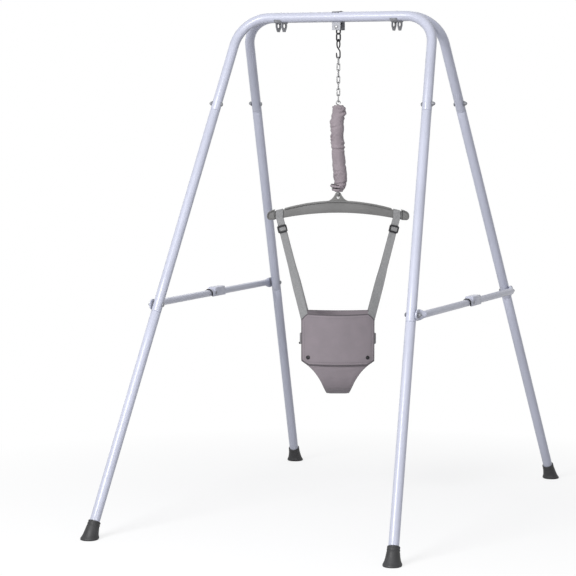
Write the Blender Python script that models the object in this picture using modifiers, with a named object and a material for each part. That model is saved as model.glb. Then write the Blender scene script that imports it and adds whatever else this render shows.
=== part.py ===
"""Baby jumper hung from a folding steel A-frame stand.

Two inverted-U tube frames stand side by side at the top and spread at the floor. The front
frame is fixed; the rear frame folds towards it about its own top tube, and a two-piece brace on
each side folds up with it. A bracket between the top tubes carries a link, a hook, a twisted
chain, a spring in a fabric sleeve, a moulded hanger bar and the seat on its two straps.

Metres, +Z up, the floor at Z = 0, the stand's front towards -Y.
"""

import math

import bmesh
import bpy
from mathutils import Matrix, Quaternion, Vector

# Stand frames: tube axes
RAIL_HEIGHT = 1.270
RAIL_HALF_SPAN = 0.264
RAIL_HALF_SPACING = 0.0155
FLOOR_HALF_SPAN = 0.390
FLOOR_HALF_DEPTH = 0.638
BEND_RADIUS = 0.085
TUBE_DIAMETER = 0.025
TUBE_WALL = 0.0015
LEG_JOINT_HEIGHT = 1.048
BRACE_HEIGHT = 0.549
SEAM_BELOW_BOLT = 0.020
SPIGOT_LENGTH = 0.045
SPIGOT_CLEARANCE = 0.0005
RUNNING_GAP = 0.0004
FACE_GAP = 0.0003

# Feet
FOOT_DIAMETER = 0.046
FOOT_NECK_DIAMETER = 0.031
FOOT_HEIGHT = 0.042
FOOT_SOLE = 0.009
FOOT_RIM_HEIGHT = 0.006
FOOT_EDGE = 0.0015

# A foot's waist: shares of its height, of its flare from neck to sole, and of the leg's lean
FOOT_WAIST = ((0.29, 0.53, 0.15), (0.48, 0.29, 0.55), (0.69, 0.0, 1.0))

# Bolts
BOLT_DIAMETER = 0.006
BOLT_HEAD_DIAMETER = 0.011
BOLT_HEAD_HEIGHT = 0.0035
NUT_DIAMETER = 0.0115
NUT_HEIGHT = 0.0075
WASHER_DIAMETER = 0.014
WASHER_THICKNESS = 0.001

# Folding side braces
BRACE_DIAMETER = 0.0175
BRACE_PLATE_HEIGHT = 0.028
BRACE_PLATE_THICKNESS = 0.0035
BRACE_PLATE_LENGTH = 0.018
BRACE_NECK_LENGTH = 0.026
BRACE_LEG_GAP = 0.0005
KNUCKLE_WALL = 0.002
KNUCKLE_FRONT = 0.055
KNUCKLE_REAR = 0.060
KNUCKLE_SKIRT = 0.009
KNUCKLE_SLOT_REAR = 0.046
LOCK_FRONT = 0.0125
LOCK_REAR = 0.055
LOCK_WIDTH = 0.016
LOCK_RISE = 0.007
LOCK_CHAMFER = 0.003
PIN_DIAMETER = 0.005
PIN_HEAD_DIAMETER = 0.009
PIN_HEAD_HEIGHT = 0.0015

# Top brackets
PLATE_THICKNESS = 0.002
HANGER_BRACKET_WIDTH = 0.023
HANGER_BRACKET_DEPTH = 0.032
HANGER_PIN_DROP = 0.0255
HANGER_PIN_EDGE = 0.008
CLAMP_BOLT_DIAMETER = 0.005
CLAMP_BOLT_OFFSET = 0.0075
CLAMP_HEAD_DIAMETER = 0.008
CLAMP_HEAD_HEIGHT = 0.002
CLAMP_NUT_HEIGHT = 0.0035
CLAMP_WASHER_DIAMETER = 0.012
SADDLE_WIDTH = 0.018
SADDLE_THICKNESS = 0.0015
SADDLE_REACH = 125.0
SADDLE_DIP = 48.0
CRADLE_LIP = 205.0
EYE_BRACKET_X = 0.1595
EYE_BRACKET_WIDTH = 0.0187
EYE_SIZE = (0.016, 0.012)
EYE_ROOF_GAP = 0.0001
EYE_SIDE_EDGE = 0.010
EYE_LOWER_EDGE = 0.0095
EYE_TAB_FOOT_HALF_DEPTH = 0.007

# An eye tab's flank: share of the way down, and the step in from its full half depth
EYE_TAB_FLANK = ((0.0, 0.0), (0.44, 0.001), (0.75, 0.006))

# Hanging line: wires and links, each one's lowest point as a drop from the piece above
LINK_WIRE = 0.0034
LINK_WIDTH = 0.013
LINK_WAIST_DROP = 0.0170
LINK_DROP = 0.0371
HOOK_WIRE = 0.0032
HOOK_EYE_RADIUS = 0.0050
HOOK_BEND_RADIUS = 0.0045
HOOK_DROP = 0.0443
HOOK_TIP_RISE = 0.0159
CHAIN_WIRE = 0.003
CHAIN_PITCH = 0.016
CHAIN_WIDTH = 0.0100
CHAIN_LINKS = 7
WIRE_GAP = 0.0003

# Spring and sleeve
SPRING_WIRE = 0.003
SPRING_RADIUS = 0.0105
SPRING_LENGTH = 0.230927
SPRING_CURLS = 22
SPRING_EYE_RADIUS = 0.0050
SPRING_EYE_DROP = 0.016
RING_HEIGHT = 0.020
RING_WIDTH = 0.014
RING_WIRE = 0.0032
SLEEVE_TOP_DROP = 0.0111
SLEEVE_RING_COVER = 0.00637
SLEEVE_RADIUS = 0.0185
SLEEVE_WALL = 0.0016
SLEEVE_NECK_RADIUS = RING_WIDTH / 2 + RING_WIRE / 2 + WIRE_GAP + SLEEVE_WALL
SLEEVE_FOLD = 0.0011
SLEEVE_FOLDS = 7.0
SLEEVE_RINGS = 22
SLEEVE_SIDES = 16
COIL_POINTS = 8

# Hanger bar
JUMPER_TURN = 21.8
BAR_HALF_LENGTH = 0.1840
BAR_DEPTH = 0.0309
BAR_TOP_ARCH_RADIUS = 0.490
BAR_BOTTOM_ARCH_RADIUS = 0.740
BAR_ARCH_HALF_LENGTH = 0.138
BAR_WIDTH = 0.022
BAR_WEB_WIDTH = 0.015
BAR_RIM = 0.0042
LUG_START = 0.163
LUG_TOP_DROP = 0.0193
LUG_HEIGHT = 0.0300
EAR_THICKNESS = 0.006
EAR_HOLE_DIAMETER = 0.0072
EAR_HOLE_RISE = 0.0087
EAR_APEX_RISE = 0.0222
EAR_HALF_BASE = 0.026
EAR_SHOULDER = 0.0065
STRAP_SEAT_START = 0.1395
STRAP_SEAT_DROP = 0.0223
STRAP_LEAN = 14.0

# A lug's outline: shares of its length out from the bar and of its height
LUG_OUTLINE = ((0.0, 0.0), (0.62, -0.03), (0.82, -0.02), (0.95, 0.07), (1.0, 0.20), (1.0, 0.40), (0.94, 0.62),
               (0.82, 0.80), (0.62, 0.92), (0.33, 0.99), (0.0, 1.0))

# The ear's flank: share of its half base, and height over the bar; then its crown: share of the
# shoulder's half width, and drop below the apex
EAR_FLANK = ((1.0, -0.001), (0.73, 0.0008), (0.55, 0.0032), (0.43, 0.0062), (0.34, 0.0100))
EAR_CROWN = ((1.0, 0.0085), (0.95, 0.0050), (0.70, 0.0018), (0.30, 0.0))

# Straps and adjusters
STRAP_WIDTH = 0.022
STRAP_THICKNESS = 0.0018
STRAP_BAR_X = 0.1513
STRAP_SEAT_X = 0.0850
STRAP_BEND_DROP = 0.0423
STRAP_TWIST_DROP = 0.1393
STRAP_OVERLAP = 0.0190
STRAP_BAR_GAP = 0.0006
STRAP_PANEL_GAP = 0.0002
SLIDER_DROP = 0.0723
SLIDER_SIZE = (0.031, 0.022)
SLIDER_BAR = 0.0036
SLIDER_DEPTH = 0.0060

# How much of the seat's turn a strap keeps at even steps up to the end of its twist
STRAP_TWIST = (0.80, 0.55, 0.30, 0.10)

# Seat
SEAT_DROP = 0.2883
SEAT_HALF_WIDTH = 0.0927
SEAT_HALF_DEPTH = 0.0680
SEAT_CURVE_DEPTH = 0.016
SEAT_THICKNESS = 0.0030
SIDE_BAND_DROP = 0.0680
SIDE_BAND_WIDTH = 0.025
SIDE_BAND_BULGE = 0.006
FLAP_THICKNESS = 0.0025
FLAP_GAP = 0.0030
SNAP_DIAMETER = 0.010
SNAP_DROP = 0.1125
SNAP_X = 0.0765
SNAP_RISE = 0.0025
PANEL_HEM_DROP = SNAP_DROP + 0.0185

# Drops and half widths down the chest panel; its foot rounds off below the studs
SEAT_PANEL = ((0.0, 0.0765), (0.008, 0.0850), (0.016, SEAT_HALF_WIDTH), (0.056, SEAT_HALF_WIDTH),
              (0.086, SEAT_HALF_WIDTH), (SNAP_DROP + 0.0035, SEAT_HALF_WIDTH), (SNAP_DROP + 0.0105, 0.0840),
              (PANEL_HEM_DROP, 0.0735))

# The strip under the crotch: drop below the hem, half width, distance from the middle, slope
SEAT_CROTCH = ((0.0180, 0.0540, 0.0605, 10.0), (0.0344, 0.0425, 0.0550, 25.0), (0.0554, 0.0347, 0.0410, 42.0),
               (0.0685, 0.0300, 0.0230, 65.0), (0.0730, 0.0287, 0.0080, 84.0))

# Steps of round forms
TUBE_SIDES = 12
ROUND_STEPS = 14
SMALL_STEPS = 10
BEND_STEPS = 6
CUT_MARGIN = 0.010

# Heights down the stand's middle, each from the piece that carries it
HANGER_PIN_HEIGHT = RAIL_HEIGHT - HANGER_PIN_DROP
HANGER_BRACKET_BOTTOM = HANGER_PIN_HEIGHT - HANGER_PIN_EDGE
EYE_ROOF = RAIL_HEIGHT - TUBE_DIAMETER / 2 - RUNNING_GAP - PLATE_THICKNESS - EYE_ROOF_GAP
EYE_HEIGHT = EYE_ROOF - EYE_SIZE[1] / 2
EYE_BRACKET_BOTTOM = EYE_HEIGHT - EYE_SIZE[1] / 2 - EYE_LOWER_EDGE
LINK_WAIST_HEIGHT = HANGER_PIN_HEIGHT - LINK_WAIST_DROP
LINK_BOTTOM = HANGER_PIN_HEIGHT - LINK_DROP
HOOK_BOTTOM = LINK_BOTTOM - HOOK_DROP
HOOK_TIP_HEIGHT = HOOK_BOTTOM + HOOK_TIP_RISE
CHAIN_TOP = HOOK_BOTTOM + HOOK_WIRE + WIRE_GAP + CHAIN_WIRE / 2
CHAIN_LINK_HEIGHT = CHAIN_PITCH + CHAIN_WIRE + WIRE_GAP
CHAIN_END = CHAIN_TOP - CHAIN_PITCH * (CHAIN_LINKS - 1) - CHAIN_LINK_HEIGHT
SPRING_TOP = CHAIN_END + CHAIN_WIRE / 2 + WIRE_GAP + SPRING_WIRE / 2
SPRING_BOTTOM = SPRING_TOP - SPRING_LENGTH
RING_TOP = SPRING_BOTTOM + SPRING_WIRE / 2 + WIRE_GAP + RING_WIRE / 2
RING_BOTTOM = RING_TOP - RING_HEIGHT
RING_RISE = RING_WIDTH / 2 - math.sqrt((RING_WIDTH / 2) ** 2 - (EAR_THICKNESS / 2 + FACE_GAP) ** 2)
EAR_HOLE_TOP = RING_BOTTOM + RING_WIRE / 2 + RING_RISE + 2 * FACE_GAP
EAR_HOLE_HEIGHT = EAR_HOLE_TOP - EAR_HOLE_DIAMETER / 2
SLEEVE_TOP = SPRING_TOP - SLEEVE_TOP_DROP
SLEEVE_BOTTOM = RING_TOP - SLEEVE_RING_COVER
BAR_TOP = EAR_HOLE_HEIGHT - EAR_HOLE_RISE
BAR_BOTTOM = BAR_TOP - BAR_DEPTH
LUG_TOP = BAR_TOP - LUG_TOP_DROP
LUG_BOTTOM = LUG_TOP - LUG_HEIGHT
EAR_APEX = BAR_TOP + EAR_APEX_RISE
STRAP_SEAT_TOP = BAR_TOP - STRAP_SEAT_DROP
STRAP_SEAT_BEND = BAR_TOP - STRAP_BEND_DROP
STRAP_TWIST_END = BAR_TOP - STRAP_TWIST_DROP
SLIDER_HEIGHT = BAR_TOP - SLIDER_DROP
SEAT_TOP = BAR_TOP - SEAT_DROP
STRAP_END_HEIGHT = SEAT_TOP - STRAP_OVERLAP
SIDE_BAND_HEIGHT = SEAT_TOP - SIDE_BAND_DROP
SNAP_HEIGHT = SEAT_TOP - SNAP_DROP

def clear_scene():
    """Remove every object that the file opened with."""
    for obj in list(bpy.data.objects):
        bpy.data.objects.remove(obj, do_unlink=True)


def new_collection(name):
    """A collection linked to the scene."""
    group = bpy.data.collections.new(name)
    bpy.context.scene.collection.children.link(group)
    return group


clear_scene()
PARTS = new_collection("baby_jumper_with_stand")
CUTTERS = new_collection("cutters")


def finish(name, colour, roughness, metallic=0.0):
    """A plain material for one kind of surface."""
    surface = bpy.data.materials.new(name)
    surface.use_nodes = True
    shader = surface.node_tree.nodes["Principled BSDF"]
    shader.inputs["Base Color"].default_value = (*colour, 1.0)
    shader.inputs["Roughness"].default_value = roughness
    shader.inputs["Metallic"].default_value = metallic
    surface.diffuse_color = (*colour, 1.0)
    return surface


POWDER_COAT = finish("powder_coat", (0.62, 0.64, 0.78), 0.35)
ZINC = finish("zinc_plate", (0.42, 0.43, 0.46), 0.4, 1.0)
STEEL = finish("bright_steel", (0.66, 0.67, 0.68), 0.25, 1.0)
BLACK_STEEL = finish("black_steel", (0.015, 0.015, 0.017), 0.45)
BLACK_RUBBER = finish("black_rubber", (0.012, 0.012, 0.013), 0.7)
BLACK_PLASTIC = finish("black_plastic", (0.012, 0.012, 0.014), 0.4)
GREY_PLASTIC = finish("grey_plastic", (0.24, 0.24, 0.235), 0.5)
WEBBING = finish("grey_webbing", (0.37, 0.37, 0.38), 0.85)
SLEEVE_CLOTH = finish("sleeve_cloth", (0.30, 0.26, 0.29), 0.9)
SEAT_CLOTH = finish("seat_cloth", (0.26, 0.23, 0.25), 0.9)


def link_object(name, mesh, surface, group=None):
    """Put a mesh in the scene as a named object with its material."""
    obj = bpy.data.objects.new(name, mesh)
    (group or PARTS).objects.link(obj)
    if surface is not None:
        mesh.materials.clear()
        mesh.materials.append(surface)
    return obj


def smooth(mesh, angle=35.0):
    """Shade a round piece smooth, with its real edges sharp."""
    mesh.shade_smooth()
    mesh.set_sharp_from_angle(angle=math.radians(angle))


def mesh_from_bmesh(name, shape):
    """Write a bmesh to a new mesh, with its faces pointing out."""
    bmesh.ops.recalc_face_normals(shape, faces=shape.faces)
    mesh = bpy.data.meshes.new(name)
    shape.to_mesh(mesh)
    shape.free()
    smooth(mesh)
    return mesh


def mesh_from_curve(curve_object):
    """The curve's evaluated mesh, with its caps welded on; the curve itself is removed."""
    bpy.context.view_layer.update()
    evaluated = curve_object.evaluated_get(bpy.context.evaluated_depsgraph_get())
    mesh = bpy.data.meshes.new_from_object(evaluated)
    curve = curve_object.data
    bpy.data.objects.remove(curve_object, do_unlink=True)
    bpy.data.curves.remove(curve)
    shape = bmesh.new()
    shape.from_mesh(mesh)
    bmesh.ops.remove_doubles(shape, verts=shape.verts, dist=0.00001)
    bpy.data.meshes.remove(mesh)
    return shape


def curve_with(name, points, cyclic=False, dimensions="3D"):
    """A curve object holding one POLY spline through the points."""
    curve = bpy.data.curves.new(name, "CURVE")
    curve.dimensions = dimensions
    curve.resolution_u = 1
    spline = curve.splines.new("POLY")
    spline.points.add(len(points) - 1)
    for knot, point in zip(spline.points, points):
        knot.co = (*point, 1.0)
    spline.use_cyclic_u = cyclic
    curve_object = bpy.data.objects.new(name, curve)
    CUTTERS.objects.link(curve_object)
    return curve_object


def wire(name, points, diameter, surface, cyclic=False, resolution=2, caps=True):
    """A round wire or tube along the points."""
    curve_object = curve_with(name, points, cyclic)
    curve_object.data.bevel_depth = diameter / 2
    curve_object.data.bevel_resolution = resolution
    curve_object.data.use_fill_caps = caps and not cyclic
    mesh = mesh_from_bmesh(name, mesh_from_curve(curve_object))
    return link_object(name, mesh, surface)


def slab(name, outline, thickness, surface, turn, group=None):
    """A flat outline (X, Y) given a thickness about its plane, then turned into place."""
    points = [(x, y, 0.0) for x, y in outline]
    curve_object = curve_with(name, points, cyclic=True, dimensions="2D")
    curve_object.data.fill_mode = "BOTH"
    curve_object.data.extrude = thickness / 2
    shape = mesh_from_curve(curve_object)
    inner_edges = [edge for edge in shape.edges if edge.is_manifold and edge.calc_face_angle() < 0.001]
    bmesh.ops.dissolve_edges(shape, edges=inner_edges, use_verts=False)
    bmesh.ops.transform(shape, matrix=turn, verts=shape.verts)
    return link_object(name, mesh_from_bmesh(name, shape), surface, group)


def cylinder(name, radius, length, surface=None, sides=ROUND_STEPS, group=None):
    """A closed cylinder along Z about the origin."""
    shape = bmesh.new()
    bmesh.ops.create_cone(shape, cap_ends=True, segments=sides, radius1=radius, radius2=radius, depth=length)
    return link_object(name, mesh_from_bmesh(name, shape), surface, group)


def block(name, low, high, surface=None, group=None):
    """A box between two corners."""
    shape = bmesh.new()
    size = [b - a for a, b in zip(low, high)]
    centre = [(a + b) / 2 for a, b in zip(low, high)]
    bmesh.ops.create_cube(shape, size=1.0, matrix=Matrix.Translation(centre) @ Matrix.Diagonal((*size, 1.0)))
    return link_object(name, mesh_from_bmesh(name, shape), surface, group)


def turned(name, profile, surface, steps=SMALL_STEPS):
    """A (radius, height) profile revolved about Z; it runs down the outside, top to bottom."""
    mesh = bpy.data.meshes.new(name)
    points = [(radius, 0.0, height) for radius, height in profile]
    closed = profile[0][0] > 0.0
    edges = [(i, i + 1) for i in range(len(points) - 1)]
    if closed:
        edges.append((len(points) - 1, 0))
    mesh.from_pydata(points, edges, [])
    obj = link_object(name, mesh, surface)
    screw = obj.modifiers.new("turn", "SCREW")
    screw.steps = steps
    screw.render_steps = steps
    screw.use_merge_vertices = True
    screw.merge_threshold = 0.00001
    screw.use_smooth_shade = True
    return obj


def loft(name, rings, surface, ring_closed=False):
    """A skin over rings of points; its ends are capped, or joined to each other."""
    shape = bmesh.new()
    loops = []
    for ring in rings:
        loops.append([shape.verts.new(point) for point in ring])
    pairs = list(zip(loops, loops[1:]))
    if ring_closed:
        pairs.append((loops[-1], loops[0]))
    else:
        shape.faces.new(list(reversed(loops[0])))
        shape.faces.new(loops[-1])
    count = len(loops[0])
    for lower, upper in pairs:
        for i in range(count):
            j = (i + 1) % count
            shape.faces.new((lower[i], lower[j], upper[j], upper[i]))
    return link_object(name, mesh_from_bmesh(name, shape), surface)


def as_cutter(obj):
    """Move an object to the cutters' collection, shown as a wire and not rendered."""
    for group in list(obj.users_collection):
        group.objects.unlink(obj)
    CUTTERS.objects.link(obj)
    obj.hide_render = True
    obj.display_type = "WIRE"
    return obj


def cut(obj, cutter, operation="DIFFERENCE"):
    """A live Boolean between a piece and its cutter, or a piece and the shape that joins it."""
    as_cutter(cutter)
    modifier = obj.modifiers.new(cutter.name, "BOOLEAN")
    modifier.operation = operation
    modifier.object = cutter
    modifier.solver = "EXACT"
    return modifier


def join(obj, other):
    """Fuse another shape into a piece."""
    return cut(obj, other, "UNION")


def pivot(name, location, parent=None, turn=None):
    """An empty on a joint's axis that carries the pieces which move on it."""
    empty = bpy.data.objects.new(name, None)
    PARTS.objects.link(empty)
    empty.empty_display_size = 0.03
    empty.matrix_world = Matrix.Translation(location) @ (turn or Matrix())
    if parent is not None:
        carry(empty, parent)
    return empty


def carry(obj, parent):
    """Parent a piece to what it moves with, keeping its place."""
    bpy.context.view_layer.update()
    placed = obj.matrix_world.copy()
    obj.parent = parent
    obj.matrix_parent_inverse = parent.matrix_world.inverted()
    obj.matrix_world = placed
    return obj


def stadium(width, height, arc_steps=4):
    """Points (x, z) round an upright link's centre line, width and height between wire centres."""
    radius = width / 2
    straight = height / 2 - radius
    points = []
    for centre, start in ((straight, 0.0), (-straight, math.pi)):
        for i in range(arc_steps + 1):
            angle = start + math.pi * i / arc_steps
            points.append((radius * math.cos(angle), centre + radius * math.sin(angle)))
    return points


def smooth_path(knots, steps=4):
    """Points on a Catmull-Rom curve through the knots."""
    knots = [Vector(knot) for knot in knots]
    ends = [2 * knots[0] - knots[1]] + knots + [2 * knots[-1] - knots[-2]]
    points = []
    for a, b, c, d in zip(ends, ends[1:], ends[2:], ends[3:]):
        for i in range(steps):
            t = i / steps
            points.append(0.5 * (2 * b + (c - a) * t + (2 * a - 5 * b + 4 * c - d) * t ** 2
                                 + (3 * b - a - 3 * c + d) * t ** 3))
    points.append(knots[-1])
    return points


# Stand: the two inverted-U frames

SIDES = (("left", -1), ("right", 1))
TUBE_RADIUS = TUBE_DIAMETER / 2


def leg_point(side, row, height):
    """Where a leg's axis stands at a height."""
    share = (RAIL_HEIGHT - height) / RAIL_HEIGHT
    x = RAIL_HALF_SPAN + (FLOOR_HALF_SPAN - RAIL_HALF_SPAN) * share
    y = RAIL_HALF_SPACING + (FLOOR_HALF_DEPTH - RAIL_HALF_SPACING) * share
    return Vector((side * x, row * y, height))


def leg_frame(side, row, height):
    """A leg's own axes at a height: Z up the leg, X outwards in the plane of the frame."""
    up = (leg_point(side, row, RAIL_HEIGHT) - leg_point(side, row, 0.0)).normalized()
    out = (Vector((side, 0.0, 0.0)) - up * side * up.x).normalized()
    turn = Matrix((out, up.cross(out), up)).transposed().to_4x4()
    return Matrix.Translation(leg_point(side, row, height)) @ turn


def seam_height(bolt_height):
    """The height of the tube seam below a leg bolt."""
    up = leg_frame(1, 1, bolt_height).to_3x3() @ Vector((0.0, 0.0, 1.0))
    return bolt_height - SEAM_BELOW_BOLT * up.z


def fillet(before, corner, after, radius, steps):
    """Points round a bend of the given radius between two straight runs."""
    start_way = (before - corner).normalized()
    end_way = (after - corner).normalized()
    half_angle = start_way.angle(end_way) / 2
    centre = corner + (start_way + end_way).normalized() * radius / math.sin(half_angle)
    start = corner + start_way * radius / math.tan(half_angle) - centre
    sweep = math.pi - 2 * half_angle
    axis = start_way.cross(end_way).normalized()
    return [centre + Matrix.Rotation(-sweep * i / steps, 3, axis) @ start for i in range(steps + 1)]


def bolt_hole(name, side, row, height):
    """The cutter for a leg bolt's hole through both walls of a tube."""
    hole = cylinder(name, BOLT_DIAMETER / 2 + RUNNING_GAP, TUBE_DIAMETER + 2 * CUT_MARGIN, sides=SMALL_STEPS)
    hole.matrix_world = bolt_frame(side, row, height)
    return hole


def bolt_frame(side, row, height):
    """The axes of a leg bolt: Z along the bolt, outwards. The brace bolts lie along X."""
    if height == BRACE_HEIGHT:
        turn = Matrix.Rotation(side * math.pi / 2, 4, "Y")
        return Matrix.Translation(leg_point(side, row, height)) @ turn
    return leg_frame(side, row, height) @ Matrix.Rotation(math.pi / 2, 4, "Y")


def make_rail(row_name, row):
    """The bent top rail with both shoulders, down to its first seam."""
    end_height = seam_height(LEG_JOINT_HEIGHT) + FACE_GAP
    ends = [leg_point(side, row, end_height) for side in (-1, 1)]
    corners = [leg_point(side, row, RAIL_HEIGHT) for side in (-1, 1)]
    path = [ends[0]]
    path += fillet(ends[0], corners[0], corners[1], BEND_RADIUS, BEND_STEPS)
    path += fillet(corners[0], corners[1], ends[1], BEND_RADIUS, BEND_STEPS)
    path.append(ends[1])
    pivot_point = Vector((0.0, row * RAIL_HALF_SPACING, RAIL_HEIGHT))
    rail = wire(row_name + "_rail", [point - pivot_point for point in path], TUBE_DIAMETER, POWDER_COAT,
                resolution=(TUBE_SIDES - 4) // 2, caps=False)
    rail.location = pivot_point
    wall = rail.modifiers.new("tube wall", "SOLIDIFY")
    wall.thickness = TUBE_WALL
    wall.offset = -1.0
    wall.use_even_offset = True
    for side_name, side in SIDES:
        cut(rail, bolt_hole("%s_rail_%s_hole" % (row_name, side_name), side, row, LEG_JOINT_HEIGHT))
    return rail


def make_leg_tube(name, side, row, bottom, top, bolt_heights):
    """A straight tube whose reduced top end plugs into the tube above it."""
    length = (leg_point(side, row, top) - leg_point(side, row, bottom)).length
    inner = TUBE_RADIUS - TUBE_WALL
    spigot = inner - SPIGOT_CLEARANCE
    bore = spigot - TUBE_WALL
    edge = TUBE_WALL * 0.4
    profile = [
        (spigot, length + SPIGOT_LENGTH), (spigot, length), (TUBE_RADIUS - edge, length),
        (TUBE_RADIUS, length - edge), (TUBE_RADIUS, 0.0), (inner, 0.0), (inner, length - 2 * TUBE_WALL),
        (bore, length), (bore, length + SPIGOT_LENGTH),
    ]
    tube = turned(name, profile, POWDER_COAT, TUBE_SIDES)
    tube.matrix_world = leg_frame(side, row, bottom)
    for height in bolt_heights:
        cut(tube, bolt_hole("%s_hole_%d" % (name, round(height * 1000)), side, row, height))
    return tube


def make_foot(name, side, row):
    """A flared rubber boot: a level sole below a neck that grips the tilted tube."""
    axis_point = leg_point(side, row, 0.0)
    lean_full = Vector((0.0, 0.0, 1.0)).rotation_difference(leg_point(side, row, RAIL_HEIGHT) - axis_point)
    sole = FOOT_DIAMETER / 2
    neck = FOOT_NECK_DIAMETER / 2
    stations = [(0.0, sole - FOOT_EDGE, 0.0), (FOOT_EDGE, sole, 0.0), (FOOT_RIM_HEIGHT, sole, 0.0)]
    stations += [(FOOT_HEIGHT * rise, neck + (sole - neck) * flare, lean) for rise, flare, lean in FOOT_WAIST]
    stations += [(FOOT_HEIGHT - FOOT_EDGE, neck, 1.0), (FOOT_HEIGHT, neck - FOOT_EDGE / 2, 1.0)]
    rings = []
    for height, radius, lean in stations:
        tilt = Quaternion().slerp(lean_full, lean)
        centre = leg_point(side, row, height) - axis_point
        ring = []
        for i in range(ROUND_STEPS):
            angle = 2 * math.pi * i / ROUND_STEPS
            ring.append(centre + tilt @ Vector((radius * math.cos(angle), radius * math.sin(angle), 0.0)))
        rings.append(ring)
    foot = loft(name, rings, BLACK_RUBBER)
    foot.location = axis_point
    bore = cylinder(name + "_bore", TUBE_RADIUS + RUNNING_GAP, FOOT_HEIGHT * 2)
    bore.matrix_world = leg_frame(side, row, FOOT_SOLE) @ Matrix.Translation((0.0, 0.0, FOOT_HEIGHT))
    cut(foot, bore)
    return foot


def cap_nut_profile(seat):
    """Half section of a domed cap nut on its washer, down to the seat."""
    cap = NUT_DIAMETER / 2
    base = seat + WASHER_THICKNESS
    top = base + NUT_HEIGHT
    washer = WASHER_DIAMETER / 2
    return [(0.0, top), (cap * 0.6, top - NUT_HEIGHT * 0.2), (cap * 0.74, base + NUT_HEIGHT * 0.5),
            (cap, base + NUT_HEIGHT * 0.42), (cap, base), (washer, base), (washer, seat)]


def spacer_profile():
    """Half section of the washer between a brace's plate and its leg."""
    shank = BOLT_DIAMETER / 2
    washer = WASHER_DIAMETER / 2
    outer_face = BRACE_PLATE_INNER - FACE_GAP
    return [(shank, outer_face), (washer, outer_face), (washer, BRACE_SEAT)]


def bolt_profile(inner_end, outer_end, nut=True, spacer=False):
    """Half section of a bolt: its domed head past inner_end and its cap nut past outer_end."""
    shank = BOLT_DIAMETER / 2
    head = BOLT_HEAD_DIAMETER / 2
    profile = cap_nut_profile(outer_end) if nut else [(0.0, outer_end)]
    profile.append((shank, outer_end))
    if spacer:
        profile += spacer_profile() + [(shank, BRACE_SEAT)]
    profile += [(shank, inner_end), (head, inner_end), (head * 0.9, inner_end - BOLT_HEAD_HEIGHT * 0.6),
                (0.0, inner_end - BOLT_HEAD_HEIGHT)]
    return profile


LEG_JOINT_SEAM = seam_height(LEG_JOINT_HEIGHT)
BRACE_SEAM = seam_height(BRACE_HEIGHT)
BOLT_SEAT = TUBE_RADIUS + FACE_GAP
SPLAY = (FLOOR_HALF_SPAN - RAIL_HALF_SPAN) / RAIL_HEIGHT
LEG_FACE = TUBE_RADIUS * math.hypot(1.0, SPLAY)
BRACE_SEAT = LEG_FACE + WASHER_DIAMETER / 2 * SPLAY + FACE_GAP
BRACE_PLATE_INNER = LEG_FACE + BRACE_PLATE_HEIGHT / 2 * SPLAY + BRACE_LEG_GAP
BRACE_PLATE_OUTER = BRACE_PLATE_INNER + BRACE_PLATE_THICKNESS

rear_pivot = pivot("rear_frame_pivot", (0.0, RAIL_HALF_SPACING, RAIL_HEIGHT))


def make_frame(row_name, row):
    """One inverted-U frame: rail, four leg tubes, two boots and the bolts that hold them."""
    pieces = [make_rail(row_name, row)]
    for side_name, side in SIDES:
        tag = "%s_%s" % (row_name, side_name)
        pieces.append(make_leg_tube(tag + "_middle_tube", side, row, BRACE_SEAM, LEG_JOINT_SEAM,
                                    (LEG_JOINT_HEIGHT, BRACE_HEIGHT)))
        pieces.append(make_leg_tube(tag + "_lower_tube", side, row, FOOT_SOLE + FACE_GAP,
                                    BRACE_SEAM - FACE_GAP, (BRACE_HEIGHT,)))
        pieces.append(make_foot(tag + "_foot", side, row))
        bolt = turned(tag + "_leg_bolt", bolt_profile(-BOLT_SEAT, BOLT_SEAT), ZINC)
        bolt.matrix_world = bolt_frame(side, row, LEG_JOINT_HEIGHT)
        pieces.append(bolt)
        if row < 0:
            profile = bolt_profile(-BRACE_SEAT, BRACE_PLATE_OUTER + FACE_GAP, spacer=True)
        else:
            profile = bolt_profile(-BRACE_SEAT, TUBE_RADIUS - FACE_GAP, nut=False)
        bolt = turned(tag + "_brace_bolt", profile, ZINC)
        bolt.matrix_world = bolt_frame(side, row, BRACE_HEIGHT)
        pieces.append(bolt)
    return pieces


front_frame = make_frame("front", -1)
rear_frame = make_frame("rear", 1)
for piece in rear_frame:
    carry(piece, rear_pivot)


# Side braces: two halves that meet in a knuckle

BRACE_RADIUS = BRACE_DIAMETER / 2
BRACE_HALF_LENGTH = leg_point(1, 1, BRACE_HEIGHT).y
BRACE_X = leg_point(1, 1, BRACE_HEIGHT).x + BRACE_PLATE_INNER + BRACE_RADIUS
PLATE_X = leg_point(1, 1, BRACE_HEIGHT).x + BRACE_PLATE_INNER + BRACE_PLATE_THICKNESS / 2


def brace_ring(along, x, half_height, half_width, squareness):
    """One section of a brace tube, from a flat plate to a full round."""
    ring = []
    for i in range(ROUND_STEPS):
        angle = 2 * math.pi * (i + 0.5) / ROUND_STEPS
        c, s = math.cos(angle), math.sin(angle)
        power = 2 / squareness
        ring.append(Vector((x + half_width * math.copysign(abs(c) ** power, c), along,
                            half_height * math.copysign(abs(s) ** power, s))))
    return ring


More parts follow.
